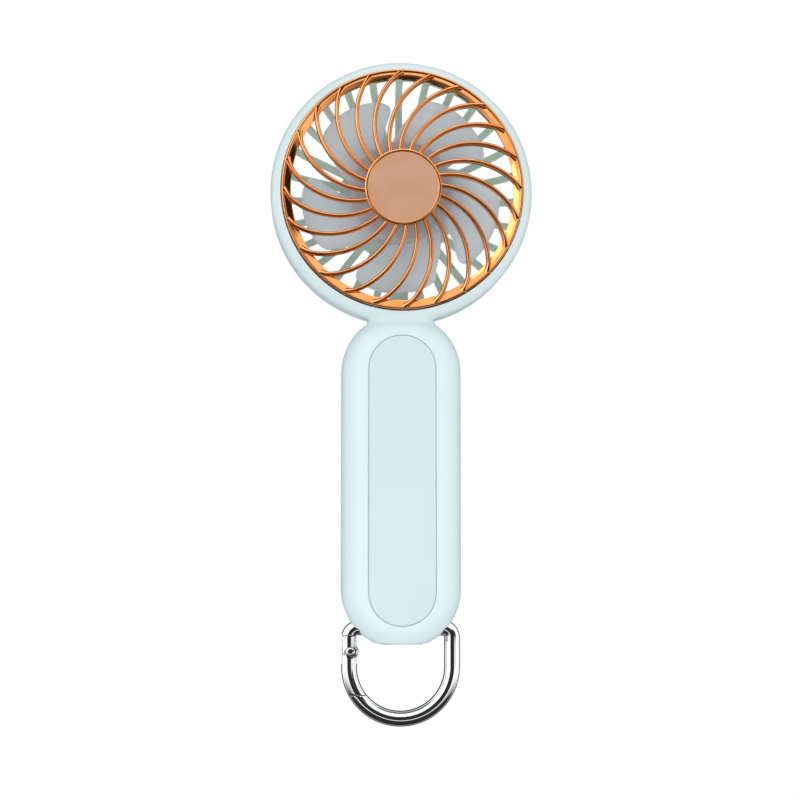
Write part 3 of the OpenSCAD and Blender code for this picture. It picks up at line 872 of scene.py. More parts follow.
class Casing:
    """The two shells, the front panel, the base pad and the rear controls."""

    GRID = 0.55
    GRID_LOW = (-44.0, -13.5, -2.0)
    GRID_HIGH = (44.0, 13.5, 188.0)
    PARTING = 0.06
    FRONT_HALF = ((-60, -40, -12), (60, -PARTING, 210))
    REAR_HALF = ((-60, PARTING, -12), (60, 40, 210))

    def __init__(self, handle: HandleSize, head: HeadSize, base: BaseSize, controls: ControlSize) -> None:
        """Keeps the sizes.

        Args:
            handle: The handle's sizes.
            head: The head's sizes.
            base: Sizes of the bore, the mouths and the pad.
            controls: Sizes of what the back of the handle carries.
        """
        self.handle = handle
        self.head = head
        self.base = base
        self.controls = controls

    @staticmethod
    def _rounded(across: np.ndarray, along: np.ndarray, radius: float) -> np.ndarray:
        """Distance to a box section with one rounded corner."""
        u, v = across + radius, along + radius
        return np.hypot(np.maximum(u, 0), np.maximum(v, 0)) + np.minimum(np.maximum(u, v), 0) - radius

    def field(self, at: np.ndarray) -> np.ndarray:
        """Signed distance to the outer surface of handle and head, blended at the neck."""
        handle, head = self.handle, self.head
        x, y, z = at[:, 0], at[:, 1], at[:, 2]
        spine = np.hypot(x, z - np.clip(z, handle.low, handle.high))
        pill = self._rounded(spine - handle.half_width, np.abs(y) - handle.half_depth, handle.edge)
        radius = np.hypot(x, z - head.height)
        front = self._rounded(radius - head.radius, -y - head.front, head.front_edge)
        back = self._rounded(radius - head.radius, y - head.back, head.back_edge)
        rim = np.maximum(front, back)
        fillet = head.neck_fillet
        near = np.hypot(np.maximum(fillet - pill, 0), np.maximum(fillet - rim, 0))
        return np.maximum(fillet, np.minimum(pill, rim)) - near

    def _cave(self) -> Solid:
        """Space inside the handle."""
        handle = self.handle
        inner = handle.cave_radius - handle.cave_edge
        section = arc(inner, handle.cave_back - handle.cave_edge, handle.cave_edge, 90, 0, 6)
        section += arc(inner, handle.cave_edge - handle.cave_front, handle.cave_edge, 0, -90, 6)
        return loft([pill_loop(r, handle.cave_low, handle.cave_high, y, 24) for r, y in section])

    def _bar_space(self) -> list[Solid]:
        """Bore for the carabiner's top bar, and the fan-shaped mouths that it swings in."""
        base, start = self.base, self.base.mouth_start
        swing = math.radians(base.swing)
        cutters = [rod(-start - 1, start + 1, 0, base.bar_height, base.bore)]
        edge = (base.mouth * math.cos(swing), base.mouth * math.sin(swing))
        far = (edge[0] + base.mouth_reach * math.sin(swing), edge[1] - base.mouth_reach * math.cos(swing))
        fan = arc(0, 0, base.mouth, 60, 120, 10)
        fan += [(-far[0], far[1]), (-far[0], base.mouth_low), (far[0], base.mouth_low), (far[0], far[1])]
        for ends in ((-start - 10, -start), (start, start + 10)):
            loops = [np.array([(x, y, base.bar_height + z) for y, z in fan]) for x in ends]
            cutters.append(loft(loops))
        return cutters

    def _pad_loop(self, grow: float, z: float) -> np.ndarray:
        """Outline of the base pad at one height, grown by a distance."""
        corner = self.base.pad_corner
        wide, deep = self.base.pad_width + grow - corner, self.base.pad_depth + grow - corner
        points = arc(wide, deep, corner, 0, 90, 6) + arc(-wide, deep, corner, 90, 180, 6)
        points += arc(-wide, -deep, corner, 180, 270, 6) + arc(wide, -deep, corner, 270, 360, 6)
        return np.array([(x, y, z) for x, y in points])

    def build(self) -> None:
        """Makes all of the casing's pieces."""
        skin = Skin(self.field, self.GRID_LOW, self.GRID_HIGH, self.GRID).solid()
        mint = MINT.material()
        base, gap = self.base, self.base.pad_gap
        below = box((-30, -20, -12), (30, 20, self.handle.base))
        pad_seat = loft([self._pad_loop(gap, -1.0), self._pad_loop(gap, base.pad_top + gap)])
        shared = [self._cave(), *self._bar_space(), below, pad_seat]
        self._front(skin, mint, shared)
        self._rear(skin, mint, shared)
        edge = base.pad_edge
        pad = loft([self._pad_loop(-edge, 0), self._pad_loop(0, edge), self._pad_loop(0, base.pad_top)])
        pad_piece = to_object("base_pad_skin", pad, SILICONE.material())
        finish_piece(pad_piece, Body.CASING, ["base_pad"])

    def _front(self, skin: Solid, mint: bpy.types.Material, shared: Sequence[Solid]) -> None:
        """Makes the front shell and the flush panel in it."""
        handle, head = self.handle, self.head
        face = -handle.half_depth
        floor = face + handle.panel_thick
        recess = handle.panel_radius + handle.panel_gap
        centres = (handle.panel_low, handle.panel_high)
        seat, ledge = head.seat, head.ledge
        opening = [(0, -1), (seat, -1), (seat, 5), (ledge, 5), (ledge, 6.4), (seat, 6.4), (seat, 9.9)]
        opening += [(seat + 0.12, 10.3), (seat + 0.9, 11.2), (seat + 0.9, 14), (0, 14)]
        lip = [(recess, floor), (recess, face + 0.5), (recess + 0.12, face + 0.26)]
        lip += [(recess + 0.34, face + 0.06), (recess + 0.6, face - 0.01), (recess + 0.6, face - 2)]
        front = to_object("front_shell_skin", skin, mint)
        carve(front, [box(*self.FRONT_HALF)], "INTERSECT")
        bowl = lathe(opening, z=head.height, segments=192)
        carve(front, [*shared, bowl, loft([pill_loop(r, *centres, y) for r, y in lip])])
        finish_piece(front, Body.CASING, ["front_shell"], 32)

        edge = recess - handle.panel_show
        plate = [(edge - 0.2, floor), (edge, floor - 0.2)]
        for a in np.radians((0, 22, 45, 67, 90)):
            plate.append((edge - 0.5 + 0.5 * math.cos(a), face + 0.42 - 0.42 * math.sin(a)))
        outline = loft([pill_loop(r, *centres, y) for r, y in plate])
        panel = to_object("front_plate", outline, MINT_PANEL.material())
        finish_piece(panel, Body.CASING, ["front_panel"], 50)

    def _rear(self, skin: Solid, mint: bpy.types.Material, shared: Sequence[Solid]) -> None:
        """Makes the rear shell, the button's cap and the light window."""
        controls, bore = self.controls, self.head.rear_bore
        opening = [(0, 1), (bore, 1), (bore, -4.9), (bore + 0.4, -5.4), (bore + 0.4, -12), (0, -12)]
        rear = to_object("rear_shell_skin", skin, mint)
        carve(rear, [box(*self.REAR_HALF)], "INTERSECT")
        port = slab_pill(controls.port_width, controls.port_half, *controls.port_cut, controls.port_height)
        carve(rear, [
            *shared,
            lathe(opening, z=self.head.height, segments=192),
            lathe(controls.button_well, z=controls.button_height, segments=64),
            box(*controls.window_slot),
            port,
        ])
        finish_piece(rear, Body.CASING, ["rear_shell"], 32)
        cap = Turned("power_button_cap", "power_button", controls.button, 96, 50)
        cap.make(Body.BUTTON, "mint_casing", mint, controls.button_height)
        lens = slab_pill(
            controls.window_width,
            controls.window_half,
            *controls.window_back,
            controls.window_height,
            controls.window_edge,
        )
        window = to_object("light_bar", lens, WINDOW.material())
        finish_piece(window, Body.CASING, ["light_window"], 50)


# ---------------------------------------------------------------- head


@dataclass(frozen=True)
class HeadPart:
    """Part of the head, with its own sizes, the head's sizes and the shared node group."""

    size: Any
    head: HeadSize
    copies: RingOfCopies


@dataclass(frozen=True)
class GrilleSize:
    """Front grille with its swirled ribs."""

    ribs: int = 24
    width: float = 1.4
    depth: float = 3.0
    arc_radius: float = 23.48
    arc_off: float = 24.57
    arc_dir: float = -66.14
    inner: float = 11.6
    outer: float = 38.0
    dome_radius: float = 211.0
    dome_top: float = 15.34
    crown: float = 1.15
    bottom_edge: float = 0.12
    gusset: float = 0.9
    gusset_start: float = 35.2
    gusset_length: float = 2.4
    rise: float = 0.24
    rise_start: float = 34.5
    rise_length: float = 2.8
    hub_depth: float = 3.6
    badge_sunk: float = 0.3
    ring: Sequence[Point] = (
        (38.2, 6.4), (38.2, 11.75), (38.14, 12.0), (38.0, 12.14), (37.8, 12.2), (37.62, 12.17),
        (37.45, 12.04), (37.35, 11.88), (37.25, 11.845), (35.5, 11.21), (35.36, 11.13), (35.3, 10.95),
        (36.1, 6.4))

    def dome(self, radius: float) -> float:
        """Front surface of the ribs at a radius."""
        return math.sqrt(self.dome_radius**2 - radius**2) - self.dome_radius + self.dome_top


class FrontGrille(HeadPart):
    """Copper-plated ring, ribs, hub plate and badge."""

    size: GrilleSize

    def _rib(self) -> Solid:
        """One curved rib, relative to the fan's axis."""
        size = self.size
        direction = math.radians(size.arc_dir)
        centre = np.array((size.arc_off * math.cos(direction), size.arc_off * math.sin(direction)))
        turns = np.radians(np.linspace(7, 86, 400))
        line = centre + size.arc_radius * np.stack((np.cos(turns), np.sin(turns)), 1)
        radii = np.hypot(*line.T)
        line = line[(radii > size.inner) & (radii < size.outer)][::8]
        loops = []
        for point in line:
            radius = float(np.hypot(*point))
            side = (point - centre) / size.arc_radius
            flare = size.gusset * max(0.0, (radius - size.gusset_start) / size.gusset_length) ** 1.5
            half, crown, edge = size.width / 2, size.crown, size.width / 2 - size.bottom_edge
            bow = np.radians(np.linspace(0, 180, 9))
            nose = [(half * math.cos(a), -crown + crown * math.sin(a)) for a in bow]
            section = [(edge, -size.depth), *nose, (-edge, -size.depth)]
            lift = min(1.0, max(0.0, (radius - size.rise_start) / size.rise_length))
            top = size.dome(radius) + size.rise * lift
            loops.append(np.array([
                (point[0] + side[0] * t, -(top + d), point[1] + side[1] * t)
                for t, d in [(s - flare * max(0.0, -s / half), d) for s, d in section]
            ]))
        return loft(loops)

    def build(self) -> None:
        """Makes the grille's pieces."""
        size, height = self.size, self.head.height
        copper, satin = COPPER.material(), COPPER_SATIN.material()
        front, back = size.dome_top - size.badge_sunk, size.dome_top - size.hub_depth
        hub = ((0, back), (11.9, back), (12.1, back + 0.2), (12.1, front), (0, front))
        rim = ((11.1, front), (12.1, front), (12.1, 15.25), (12.04, 15.45), (11.88, 15.6), (11.6, 15.69))
        rim += ((11.35, 15.66), (11.2, 15.58), (11.1, 15.45))
        face = ((0, front), (11.1, front), (11.1, 15.55), (0, 15.55))
        grille, badge = "front_grille", "grille_badge"
        Turned("grille_ring", grille, size.ring, 256).make(Body.CASING, "copper_chrome", copper, height)
        ribs = self.copies.repeat("grille_ribs", self._rib(), copper, size.ribs, 360 / size.ribs, 0, height)
        finish_piece(ribs, Body.CASING, [grille], 50)
        Turned("grille_hub", grille, hub).make(Body.CASING, "copper_chrome", copper, height)
        Turned("badge_rim", badge, rim, sharp=50).make(Body.CASING, "copper_chrome", copper, height)
        Turned("badge_face", badge, face).make(Body.CASING, "copper_satin", satin, height)


@dataclass(frozen=True)
class CageSize:
    """Bowl-shaped rear grille."""

    bars: int = 28
    width: float = 2.3
    lead_width: float = 6.2
    lead_front: float = 1.3
    thick: float = 1.8
    bend_radius: float = 33.5
    bend_width: float = 6.0
    start: float = 4.2
    depth: float = 7.6
    disc: float = 19.6
    edge: float = 0.5
    ring: Sequence[Point] = (
        (38.5, -0.6), (40.4, -0.6), (40.4, -5.0), (40.25, -5.35), (39.9, -5.5), (38.9, -5.5), (38.6, -5.35),
        (38.5, -5.0))
    cover: Sequence[Point] = ((0, -13.1), (12.6, -13.1), (13.1, -13.0), (14, -12.7), (14, -11.7), (0, -11.7))

    @property
    def back(self) -> float:
        """Outer face of the disc."""
        return -self.start - self.depth - self.thick / 2


class RearGrille(HeadPart):
    """Cage of radial bars behind the impeller, with the motor's seat and its cover."""

    size: CageSize

    def _line(self) -> list[tuple[Point, Point]]:
        """Points of a bar's middle line as radius and distance forward, each with its outward direction."""
        size = self.size
        middle = -size.start - size.depth
        radii = np.linspace(size.disc - 1.2, size.bend_radius, 6)
        flat = [((r, middle), (0.0, -1.0)) for r in radii]
        bend = []
        for a in np.radians(np.linspace(80, 0, 11)):
            point = (size.bend_radius + size.bend_width * math.cos(a), -size.start - size.depth * math.sin(a))
            slope = np.array((size.depth * math.cos(a), -size.bend_width * math.sin(a)))
            bend.append((point, tuple(slope / np.hypot(*slope))))
        return flat + bend

    def _section(self, half: float, inner: float) -> list[Point]:
        """Section of a bar, chamfered towards the impeller and rounded at the back.

        Args:
            half: Half of its width.
            inner: Distance from its middle line to the side that faces the impeller.

        Returns:
            Sideways place and distance outwards of each corner.
        """
        edge, outer = self.size.edge, self.size.thick / 2
        section = [(half - edge, -inner), (half, edge - inner)]
        section += arc(half - edge, outer - edge, edge, 0, 90, 4)
        section += arc(edge - half, outer - edge, edge, 90, 180, 4)
        return section + [(-half, edge - inner), (edge - half, -inner)]

    def _bar(self, section: Sequence[Point]) -> Solid:
        """One bar, relative to the axis, with a section given as sideways place and distance outwards."""
        loops = []
        for (radius, forward), (out_r, out_f) in self._line():
            loops.append(np.array([(radius + d * out_r, -(forward + d * out_f), s) for s, d in section]))
        return loft(loops)

    def build(self) -> None:
        """Makes the cage's pieces."""
        size, height, back = self.size, self.head.height, self.size.back
        # Mint plastic with a greener tint that paints the shade the cage stands in.
        mint = SHADED_MINT_CAGE.material()
        step = 360 / size.bars
        section = self._section(size.width / 2, size.thick / 2)
        wide_section = self._section(size.lead_width / 2, size.lead_front)
        for name, bar, count, turn, first in (
            ("cage_bars", section, size.bars - 1, step, 270 + step),
            ("cage_lead_bar", wide_section, 1, 0, 270),
        ):
            bars = self.copies.repeat(name, self._bar(bar), mint, count, turn, first, height)
            finish_piece(bars, Body.CASING, ["rear_grille"], 40)
        disc = ((14.05, back), (19.1, back), (19.45, back + 0.12), (19.6, back + 0.4), (19.6, back + 2.2))
        disc += ((13.55, back + 2.2), (13.55, -5.5), (12.25, -5.5), (12.25, back + 1.9), (6, back + 1.9))
        disc += ((6, back + 1.02), (14.05, back + 1.02))
        for turned in (
            Turned("cage_ring", "rear_grille", size.ring),
            Turned("cage_disc", "rear_grille", disc),
            Turned("motor_cover_cap", "motor_cover", size.cover),
        ):
            turned.make(Body.CASING, "mint_casing", mint, height)


@dataclass(frozen=True)
class ImpellerSize:
    """Five-bladed impeller."""

    blades: int = 5
    root: float = 15.8
    tip: float = 32.1
    hub: float = 16.5
    hub_front: float = 7.2
    pitch: float = 18.0
    thick: float = 1.3
    middle: float = 3.1
    camber: float = 0.35
    direction: float = 50.0
    shape_start: float = 15.0
    sweep: float = 22.0
    sweep_rate: float = 1.76
    sweep_blend: float = 2.0
    spread: float = 31.0
    spread_rate: float = 0.36
    tip_start: float = 28.5
    lean_radius: float = 24.0
    steps: int = 25
    tip_round: int = 14
    edge_round: int = 7
    hub_edge: float = 1.5
    hub_wall: float = 1.2
    hub_back: float = -4.5
    boss: float = 3.0
    shaft: float = 1.02

    def mid(self, radius: float) -> float:
        """Direction of the middle of a blade at a radius, in degrees."""
        swept = self.sweep - self.sweep_rate * (radius - self.shape_start)
        return self.direction + (swept + math.hypot(swept, self.sweep_blend)) / 2

    def half(self, radius: float) -> float:
        """Half of the angle that a blade covers at a radius."""
        over = max(0.0, (radius - self.tip_start) / (self.tip - self.tip_start))
        wide = self.spread - self.spread_rate * (radius - self.shape_start)
        return wide * max(0.0, 1 - over**3) ** 0.4


class Impeller(HeadPart):
    """Hub and curved blades, which turn together."""

    size: ImpellerSize

    def _blade(self) -> Solid:
        """One blade as a row of closed sections from root to tip."""
        size = self.size
        lean = math.radians(size.mid(size.lean_radius))
        rise = math.tan(math.radians(size.pitch))
        share = np.sin(np.radians(np.linspace(0, 90, size.steps)))
        loops = []
        across = np.linspace(-1, 1, size.steps)
        for part in share[:-1]:
            radius = size.root + (size.tip - size.root) * part
            middle, half = math.radians(size.mid(radius)), math.radians(size.half(radius))
            edge = math.sqrt(max(0.0, 1 - part**size.tip_round))
            top, under = [], []
            for v in across:
                angle = middle + v * half
                sideways = radius * math.sin(angle - lean)
                lift = size.middle + sideways * rise + size.camber * (0.5 - v * v)
                thick = size.thick / 2 * math.sqrt(max(0.0, 1 - abs(v) ** size.edge_round)) * edge
                place = (radius * math.cos(angle), radius * math.sin(angle))
                top.append((place[0], -(lift + thick), place[1]))
                under.append((place[0], -(lift - thick), place[1]))
            loops.append(np.array(top + under[-2:0:-1]))
        end = math.radians(size.mid(size.tip))
        sideways = size.tip * math.sin(end - lean)
        lift = size.middle + sideways * rise
        loops.append(np.array([(size.tip * math.cos(end), -lift, size.tip * math.sin(end))]))
        return loft(loops)

    def build(self) -> None:
        """Makes the hub and blades."""
        size, height = self.size, self.head.height
        grey = BLADE_GREY.material()
        front, edge = size.hub_front, size.hub_edge
        inner, roof = size.hub - size.hub_wall, front - size.hub_wall
        hub = [(0, front), *arc(size.hub - edge, front - edge, edge, 90, 0, 8), (size.hub, size.hub_back)]
        hub += [(inner, size.hub_back), (inner, roof), (size.boss, roof), (size.boss, 3.6)]
        hub += [(size.shaft, 3.6), (size.shaft, 6.8), (0, 6.8)]
        Turned("impeller_hub", "impeller", hub).make(Body.IMPELLER, "impeller_grey", grey, height)
        step = 360 / size.blades
        blades = self.copies.repeat("impeller_blades", self._blade(), grey, size.blades, step, 0, height)
        finish_piece(blades, Body.IMPELLER, ["impeller"], 60)


# ---------------------------------------------------------------- carabiner


@dataclass(frozen=True)
class CarabinerSize:
    """D-shaped ring of round bar with a sprung gate."""

    bar: float = 2.5
    leg: float = 16.35
    top: float = 4.8
    bend: float = 3.0
    bow: float = -7.4
    gate_low: float = -16.2
    gate_high: float = 2.5
    gap: float = 0.12
    pin_x: float = -16.0
    pin_z: float = -2.5
    pin: float = 0.9
    head: float = 1.45
    tongue: float = 2.8
    tongue_half: float = 1.0
    slot_half: float = 1.1
    slot_floor: float = 4.0
    outside: float = -25.0
    inside: float = -9.0
    head_gap: float = 0.15
    tongue_x: Point = (-18.3, -14.2)
    boss: Sequence[Point] = (
        (0, 2.15), (1.9, 2.15), (2.4, 1.75), (2.62, 1.2), (2.62, -1.2), (2.4, -1.75), (1.9, -2.15),
        (0, -2.15))
    spring_place: Corner = (-16.15, 0.0, -12.0)
    spring_bore: float = 1.1
    spring_length: float = 8.0
    bevel: float = 0.22


class Carabiner:
    """Chrome ring, gate and rivet."""

    def __init__(self, size: CarabinerSize) -> None:
        """Keeps the sizes."""
        self.size = size

    def _ring(self) -> Solid:
        """Whole closed ring of round bar."""
        size = self.size
        corner_x, corner_z = size.leg - size.bend, size.top - size.bend
        line: list[Point] = [(x, size.top) for x in np.linspace(-corner_x, corner_x, 14)[1:-1]]
        line += arc(corner_x, corner_z, size.bend, 90, 0, 12)
        line += [(size.leg, z) for z in np.linspace(corner_z, size.bow, 8)[1:-1]]
        line += arc(0, size.bow, size.leg, 0, -180, 64)
        line += [(-size.leg, z) for z in np.linspace(size.bow, corner_z, 8)[1:-1]]
        line += arc(-corner_x, corner_z, size.bend, 180, 90, 12)
        points = np.array(line)
        ahead = np.roll(points, -1, 0) - np.roll(points, 1, 0)
        ahead /= np.hypot(*ahead.T)[:, None]
        turn = np.linspace(0, 2 * math.pi, 40, endpoint=False)
        loops = []
        for (x, z), (dx, dz) in zip(points, ahead):
            out = size.bar * np.cos(turn)
            loops.append(np.stack((x + dz * out, size.bar * np.sin(turn), z - dx * out), 1))
        return loft(loops, closed=True)

    def _pin_rod(self, radius: float, half: float, y: float = 0.0) -> Solid:
        """Cylinder round the gate's pin axis."""
        profile = [(0, half), (radius, half), (radius, -half), (0, -half)]
        return lathe(profile, self.size.pin_x, self.size.pin_z, 64).moved(y=y)

    def _side(self, low: float, high: float) -> Solid:
        """Box round the ring's left side, between two heights."""
        return box((self.size.outside, -5, low), (self.size.inside, 5, high))

    def _tongue(self, chrome: bpy.types.Material) -> bpy.types.Object:
        """Tongue that stands down from the frame into the gate's slot and holds the pin."""
        size = self.size
        left, right = size.tongue_x
        half = size.tongue_half
        tongue = to_object("carabiner_tongue", self._pin_rod(size.tongue - 0.25, half), chrome)
        carve(tongue, [box((left, -half, size.pin_z), (right, half, size.gate_high + 1))], "UNION")
        carve(tongue, [box((left - 0.2, -5, -10), (size.inside, 5, 20))], "INTERSECT")
        carve(tongue, [self._pin_rod(size.pin, 6)])
        return tongue

    def _gate(self, ring: Solid, chrome: bpy.types.Material) -> bpy.types.Object:
        """Gate with a round nose about its pin, a slot for the tongue, and bores."""
        size = self.size
        gate = to_object("carabiner_gate_bar", ring, chrome)
        carve(gate, [self._side(size.gate_low + size.gap, size.gate_high - size.head_gap)], "INTERSECT")
        keep = to_object("keep", box((size.outside, -5, -20), (size.pin_x, 5, 10)))
        nose = self._pin_rod(size.gate_high - size.pin_z, 5)
        carve(keep, [nose, box((size.outside, -5, -20), (-5, 5, size.pin_z))], "UNION")
        modifier = gate.modifiers.new("keep", "BOOLEAN")
        modifier.operation, modifier.solver, modifier.object = "INTERSECT", "MANIFOLD", keep
        bake(gate)
        bpy.data.objects.remove(keep)
        carve(gate, [lathe(size.boss, size.pin_x, size.pin_z, 64)], "UNION")
        low, high = size.pin_z - size.slot_floor, size.gate_high + 5
        slot = box((size.outside, -size.slot_half, low), (-5, size.slot_half, high))
        sockets = [self._pin_rod(size.head + 0.15, 2, y) for y in (-4, 4)]
        bore, length = size.spring_bore, size.spring_length
        spring = lathe([(0, 0), (bore, 0), (bore, length), (0, length)], segments=48)
        upright = spring.corners[:, (0, 2, 1)] * np.array((1, 1, -1))
        spring = Solid(upright + np.array(size.spring_place), spring.faces)
        carve(gate, [slot, self._pin_rod(size.pin + 0.05, 6), *sockets, spring])
        return gate

    def build(self) -> None:
        """Makes the frame, the gate and the rivet."""
        size = self.size
        chrome = CHROME.material()
        ring = self._ring()
        frame_piece = to_object("carabiner_bar", ring, chrome)
        carve(frame_piece, [self._side(size.gate_low - size.gap, size.gate_high + size.gap)])
        tongue = self._tongue(chrome)
        gate = self._gate(ring, chrome)
        for piece in (frame_piece, gate):
            bevel = piece.modifiers.new("edges", "BEVEL")
            bevel.width, bevel.segments, bevel.angle_limit = size.bevel * MM, 2, math.radians(45)
            bevel.use_clamp_overlap = True
            bake(piece)
        finish_piece(frame_piece, Body.CARABINER, ["carabiner_frame"], 35)
        finish_piece(tongue, Body.CARABINER, ["carabiner_frame"], 35)
        finish_piece(gate, Body.GATE, ["carabiner_gate"], 35)
        end = size.bar + 0.2
        rivet = [(0, -end), (0.7, 0.05 - end), (1.15, 0.16 - end), (1.38, 0.32 - end), (size.head, 0.5 - end),
                 (size.head, -2.05), (size.pin, -2.05)]
        rivet += [(r, -f) for r, f in reversed(rivet)]
        pin = to_object("gate_rivet", lathe(rivet, size.pin_x, size.pin_z, 64), chrome)
        finish_piece(pin, Body.CARABINER, ["gate_pin"], 50)


# ---------------------------------------------------------------- insides


class Internals:
    """Finishes for the CAD nodes that stay as they are, most of them inside the casing."""

    FINISHES = {
        InnerFinish("screw_steel", (0.55, 0.56, 0.58), (0.42, 0.42, 0.43), 1.0, 0.32, 0.6, (4, 1, 1)): (
            "casing_screws", "motor_shaft", "usb_c_socket", "gate_plunger", "gate_spring"),
        InnerFinish("motor_steel", (0.42, 0.43, 0.45), (0.33, 0.33, 0.34), 1.0, 0.38, 0.8, (1, 5, 1)): (
            "armature_core", "motor_can"),
        InnerFinish("winding_copper", (0.66, 0.26, 0.11), (0.42, 0.14, 0.05), 0.9, 0.35, 0.35, (1, 8, 1)): (
            "armature_windings", "commutator", "motor_brushes"),
        InnerFinish("magnet_black", (0.05, 0.05, 0.055), (0.09, 0.09, 0.09), 0.2, 0.6): (
            "motor_magnets", "boost_inductor"),
        InnerFinish("black_plastic", (0.02, 0.02, 0.022), (0.035, 0.035, 0.036), 0.0, 0.5): (
            "motor_end_cap", "control_chip", "push_switch"),
        InnerFinish("bush_bronze", (0.42, 0.25, 0.10), (0.30, 0.17, 0.07), 1.0, 0.5, 0.3): ("motor_bushes",),
        InnerFinish("lead_red", (0.42, 0.03, 0.02), (0.34, 0.02, 0.02), 0.0, 0.5): ("motor_leads",),
        InnerFinish("lead_black", (0.015, 0.015, 0.015), (0.03, 0.03, 0.03), 0.0, 0.5): ("battery_leads",),
        InnerFinish("cell_foil", (0.52, 0.53, 0.55), (0.40, 0.41, 0.43), 0.8, 0.42, 2.5): ("battery_cell",),
        InnerFinish("foam_black", (0.025, 0.025, 0.025), (0.05, 0.05, 0.05), 0.0, 0.9, 0.5): ("battery_pad",),
        InnerFinish("board_green", (0.02, 0.14, 0.06), (0.03, 0.22, 0.09), 0.0, 0.35, 1.5, (1, 1, 6)): (
            "circuit_board",),
        InnerFinish("capacitor_tan", (0.42, 0.30, 0.17), (0.34, 0.24, 0.13), 0.0, 0.4): ("board_capacitors",),
        InnerFinish("light_white", (0.86, 0.88, 0.90), (0.80, 0.82, 0.78), 0.0, 0.3): ("status_lights",),
    }

    def build(self) -> None:
        """Paints each node."""
        for finish, nodes in self.FINISHES.items():
            material = finish.material()
            for name in nodes:
                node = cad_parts[name]
                node.data.materials.clear()
                node.data.materials.append(material)
                LOG.info("%s keeps its shape and takes %s", name, finish.name)


# ---------------------------------------------------------------- studio


@dataclass(frozen=True)
class Softbox:
    """Area light aimed at the middle of the fan, with its place given in degrees and metres."""

    name: str
    azimuth: float
    elevation: float
    distance: float
    width: float
    height: float
    watts: float
    colour: Colour = (1.0, 1.0, 1.0)
    mirrored: bool = True


@dataclass(frozen=True)
class Room:
    """What the plating mirrors: a bright room that is dark straight ahead, behind and below.

    Each pair says where the brightness starts and stops falling along its direction. A dark flag
    stands ahead to the right, and the hoop is a thin bright ring of directions, which keeps the
    copper ring's chamfer bright all round.
    """

    ambient: float = 0.515
    dark: float = 0.03
    bright: float = 1.2
    ahead: Point = (0.82, 0.89)
    behind: Point = (0.4, 0.6)
    under: Point = (0.2, 0.55)
    under_back: Point = (0.3, 0.55)
    flag_way: Corner = (0.66, 0.73, 0.17)
    flag: Point = (0.955, 0.975)
    hoop_up: float = 0.18
    hoop_forward: float = 0.985
    hoop_place: float = 0.815
    hoop: Point = (0.0006, 0.002)


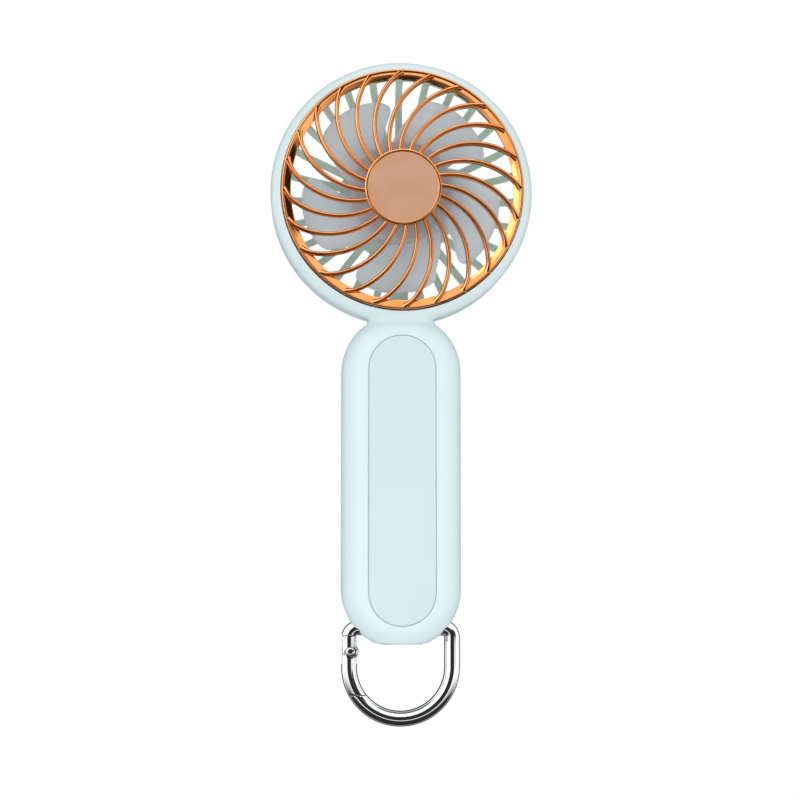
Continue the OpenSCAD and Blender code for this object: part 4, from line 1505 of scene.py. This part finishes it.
class Studio:
    """Camera, lights, backdrop and floor."""

    TARGET = Vector((-0.0002, 0.0, 0.0773))
    DISTANCE = 0.55
    AZIMUTH = -3.2
    ELEVATION = -3.6
    LENS = 77.3
    SENSOR = 36
    NEAR = 0.01
    FLOOR = -0.3
    FLOOR_RADIUS = 480
    FLOOR_THICK = 4
    ROOM = Room()

    SOFTBOXES = (
        Softbox("key", -48, 28, 0.75, 0.45, 0.6, 1.2, (0.92, 0.96, 1.0)),
        Softbox("fill", 52, 18, 0.8, 0.4, 0.6, 1.45, (1.0, 1.0, 0.97), False),
        Softbox("top", 0, 78, 0.7, 0.5, 0.5, 0.6),
        Softbox("low", -10, -26, 0.62, 0.6, 0.35, 1.5, (1.0, 1.0, 1.0), False),
        Softbox("back", 180, 8, 0.6, 0.5, 0.5, 1.8, (1.0, 1.0, 1.0), False),
    )

    @staticmethod
    def _direction(azimuth: float, elevation: float) -> Vector:
        """Direction from the fan, with azimuth 0 in front and positive to the right."""
        a, e = math.radians(azimuth), math.radians(elevation)
        return Vector((math.sin(a) * math.cos(e), -math.cos(a) * math.cos(e), math.sin(e)))

    def _camera(self) -> None:
        """Places the camera."""
        data = bpy.data.cameras.new("camera")
        data.lens = self.LENS
        data.sensor_width = self.SENSOR
        data.clip_start = self.NEAR
        camera = bpy.data.objects.new("camera", data)
        away = self._direction(self.AZIMUTH, self.ELEVATION)
        camera.location = self.TARGET + self.DISTANCE * away
        camera.rotation_euler = away.to_track_quat("Z", "Y").to_euler()
        bpy.context.scene.collection.objects.link(camera)
        bpy.context.scene.camera = camera

    def _lights(self) -> None:
        """Places the softboxes."""
        for box_light in self.SOFTBOXES:
            data = bpy.data.lights.new(box_light.name, "AREA")
            data.shape = "RECTANGLE"
            data.size, data.size_y = box_light.width, box_light.height
            data.energy = box_light.watts
            data.color = box_light.colour
            light = bpy.data.objects.new(box_light.name, data)
            away = self._direction(box_light.azimuth, box_light.elevation)
            light.location = self.TARGET + box_light.distance * away
            light.visible_glossy = box_light.mirrored
            light.visible_camera = False
            light.rotation_euler = away.to_track_quat("Z", "Y").to_euler()
            bpy.context.scene.collection.objects.link(light)

    def _world(self) -> None:
        """White to the camera, even light to matt faces, and the room to whatever mirrors it."""
        world = bpy.data.worlds.new("studio")
        bpy.context.scene.world = world
        world.use_nodes = True
        tree = world.node_tree
        tree.nodes.clear()

        def node(kind: str, **settings: Any) -> bpy.types.Node:
            """Adds a node."""
            made = tree.nodes.new(kind)
            for key, value in settings.items():
                setattr(made, key, value)
            return made

        place = node("ShaderNodeTexCoord")
        split = node("ShaderNodeSeparateXYZ")
        tree.links.new(place.outputs["Generated"], split.inputs[0])
        x, y, z = (Flow(tree, split.outputs[letter]) for letter in "XYZ")

        def fade(value: Flow, low: float, high: float) -> Flow:
            """Falls from 1 at low to 0 at high."""
            return ((high - value) * (1 / (high - low))).largest(0.0).smallest(1.0)

        look = self.ROOM
        ahead = fade(y * -1.0, *look.ahead)
        behind = fade(y, *look.behind)
        below = 1.0 - (1.0 - fade(z * -1.0, *look.under)) * fade(y, *look.under_back)
        right, forward, up = look.flag_way
        flag = fade(right * x - forward * y + up * z, *look.flag)
        aside = look.hoop_up * z - look.hoop_forward * y - look.hoop_place
        hoop = fade(aside * aside, *look.hoop)
        sheen = look.dark + look.bright * (ahead * below).largest(hoop) * behind * flag
        path = node("ShaderNodeLightPath")
        glossy = Flow(tree, path.outputs["Is Glossy Ray"])
        level = glossy * sheen + (1.0 - glossy) * look.ambient
        room = node("ShaderNodeBackground")
        white = node("ShaderNodeBackground")
        white.inputs[0].default_value = (1, 1, 1, 1)
        tree.links.new(level.socket, room.inputs["Strength"])
        room.inputs[0].default_value = (1, 1, 1, 1)
        mix = node("ShaderNodeMixShader")
        out = node("ShaderNodeOutputWorld")
        tree.links.new(path.outputs["Is Camera Ray"], mix.inputs[0])
        tree.links.new(room.outputs[0], mix.inputs[1])
        tree.links.new(white.outputs[0], mix.inputs[2])
        tree.links.new(mix.outputs[0], out.inputs[0])

    def _floor(self) -> None:
        """Pale floor well below the hanging carabiner."""
        radius, under = self.FLOOR_RADIUS, -self.FLOOR_THICK
        floor = to_object("floor", lathe([(0, 0), (radius, 0), (radius, under), (0, under)], segments=96))
        floor.data.transform(Euler((math.radians(-90), 0, 0)).to_matrix().to_4x4())
        floor.data.transform(Matrix.Translation((0, 0, self.FLOOR)))
        paint = Paint("floor_paper")
        cloud = paint.noise(120.0, 2.0)
        paint.set(Base_Color=paint.blend(cloud, (0.86, 0.86, 0.86), (0.82, 0.82, 0.82)), Roughness=0.9)
        floor.data.materials.append(paint.material)
        floor.visible_glossy = False

    def build(self) -> None:
        """Sets up the studio."""
        scene = bpy.context.scene
        scene.view_settings.view_transform = "Standard"
        self._camera()
        self._lights()
        self._world()
        self._floor()


def main() -> None:
    """Builds the fan's looks."""
    logging.basicConfig(level=logging.INFO, format="%(name)s: %(message)s")
    handle, head = HandleSize(), HeadSize()
    copies = RingOfCopies()
    Studio().build()
    Casing(handle, head, BaseSize(), ControlSize()).build()
    FrontGrille(GrilleSize(), head, copies).build()
    RearGrille(CageSize(), head, copies).build()
    Impeller(ImpellerSize(), head, copies).build()
    Carabiner(CarabinerSize()).build()
    Internals().build()


if __name__ == "__main__":
    main()
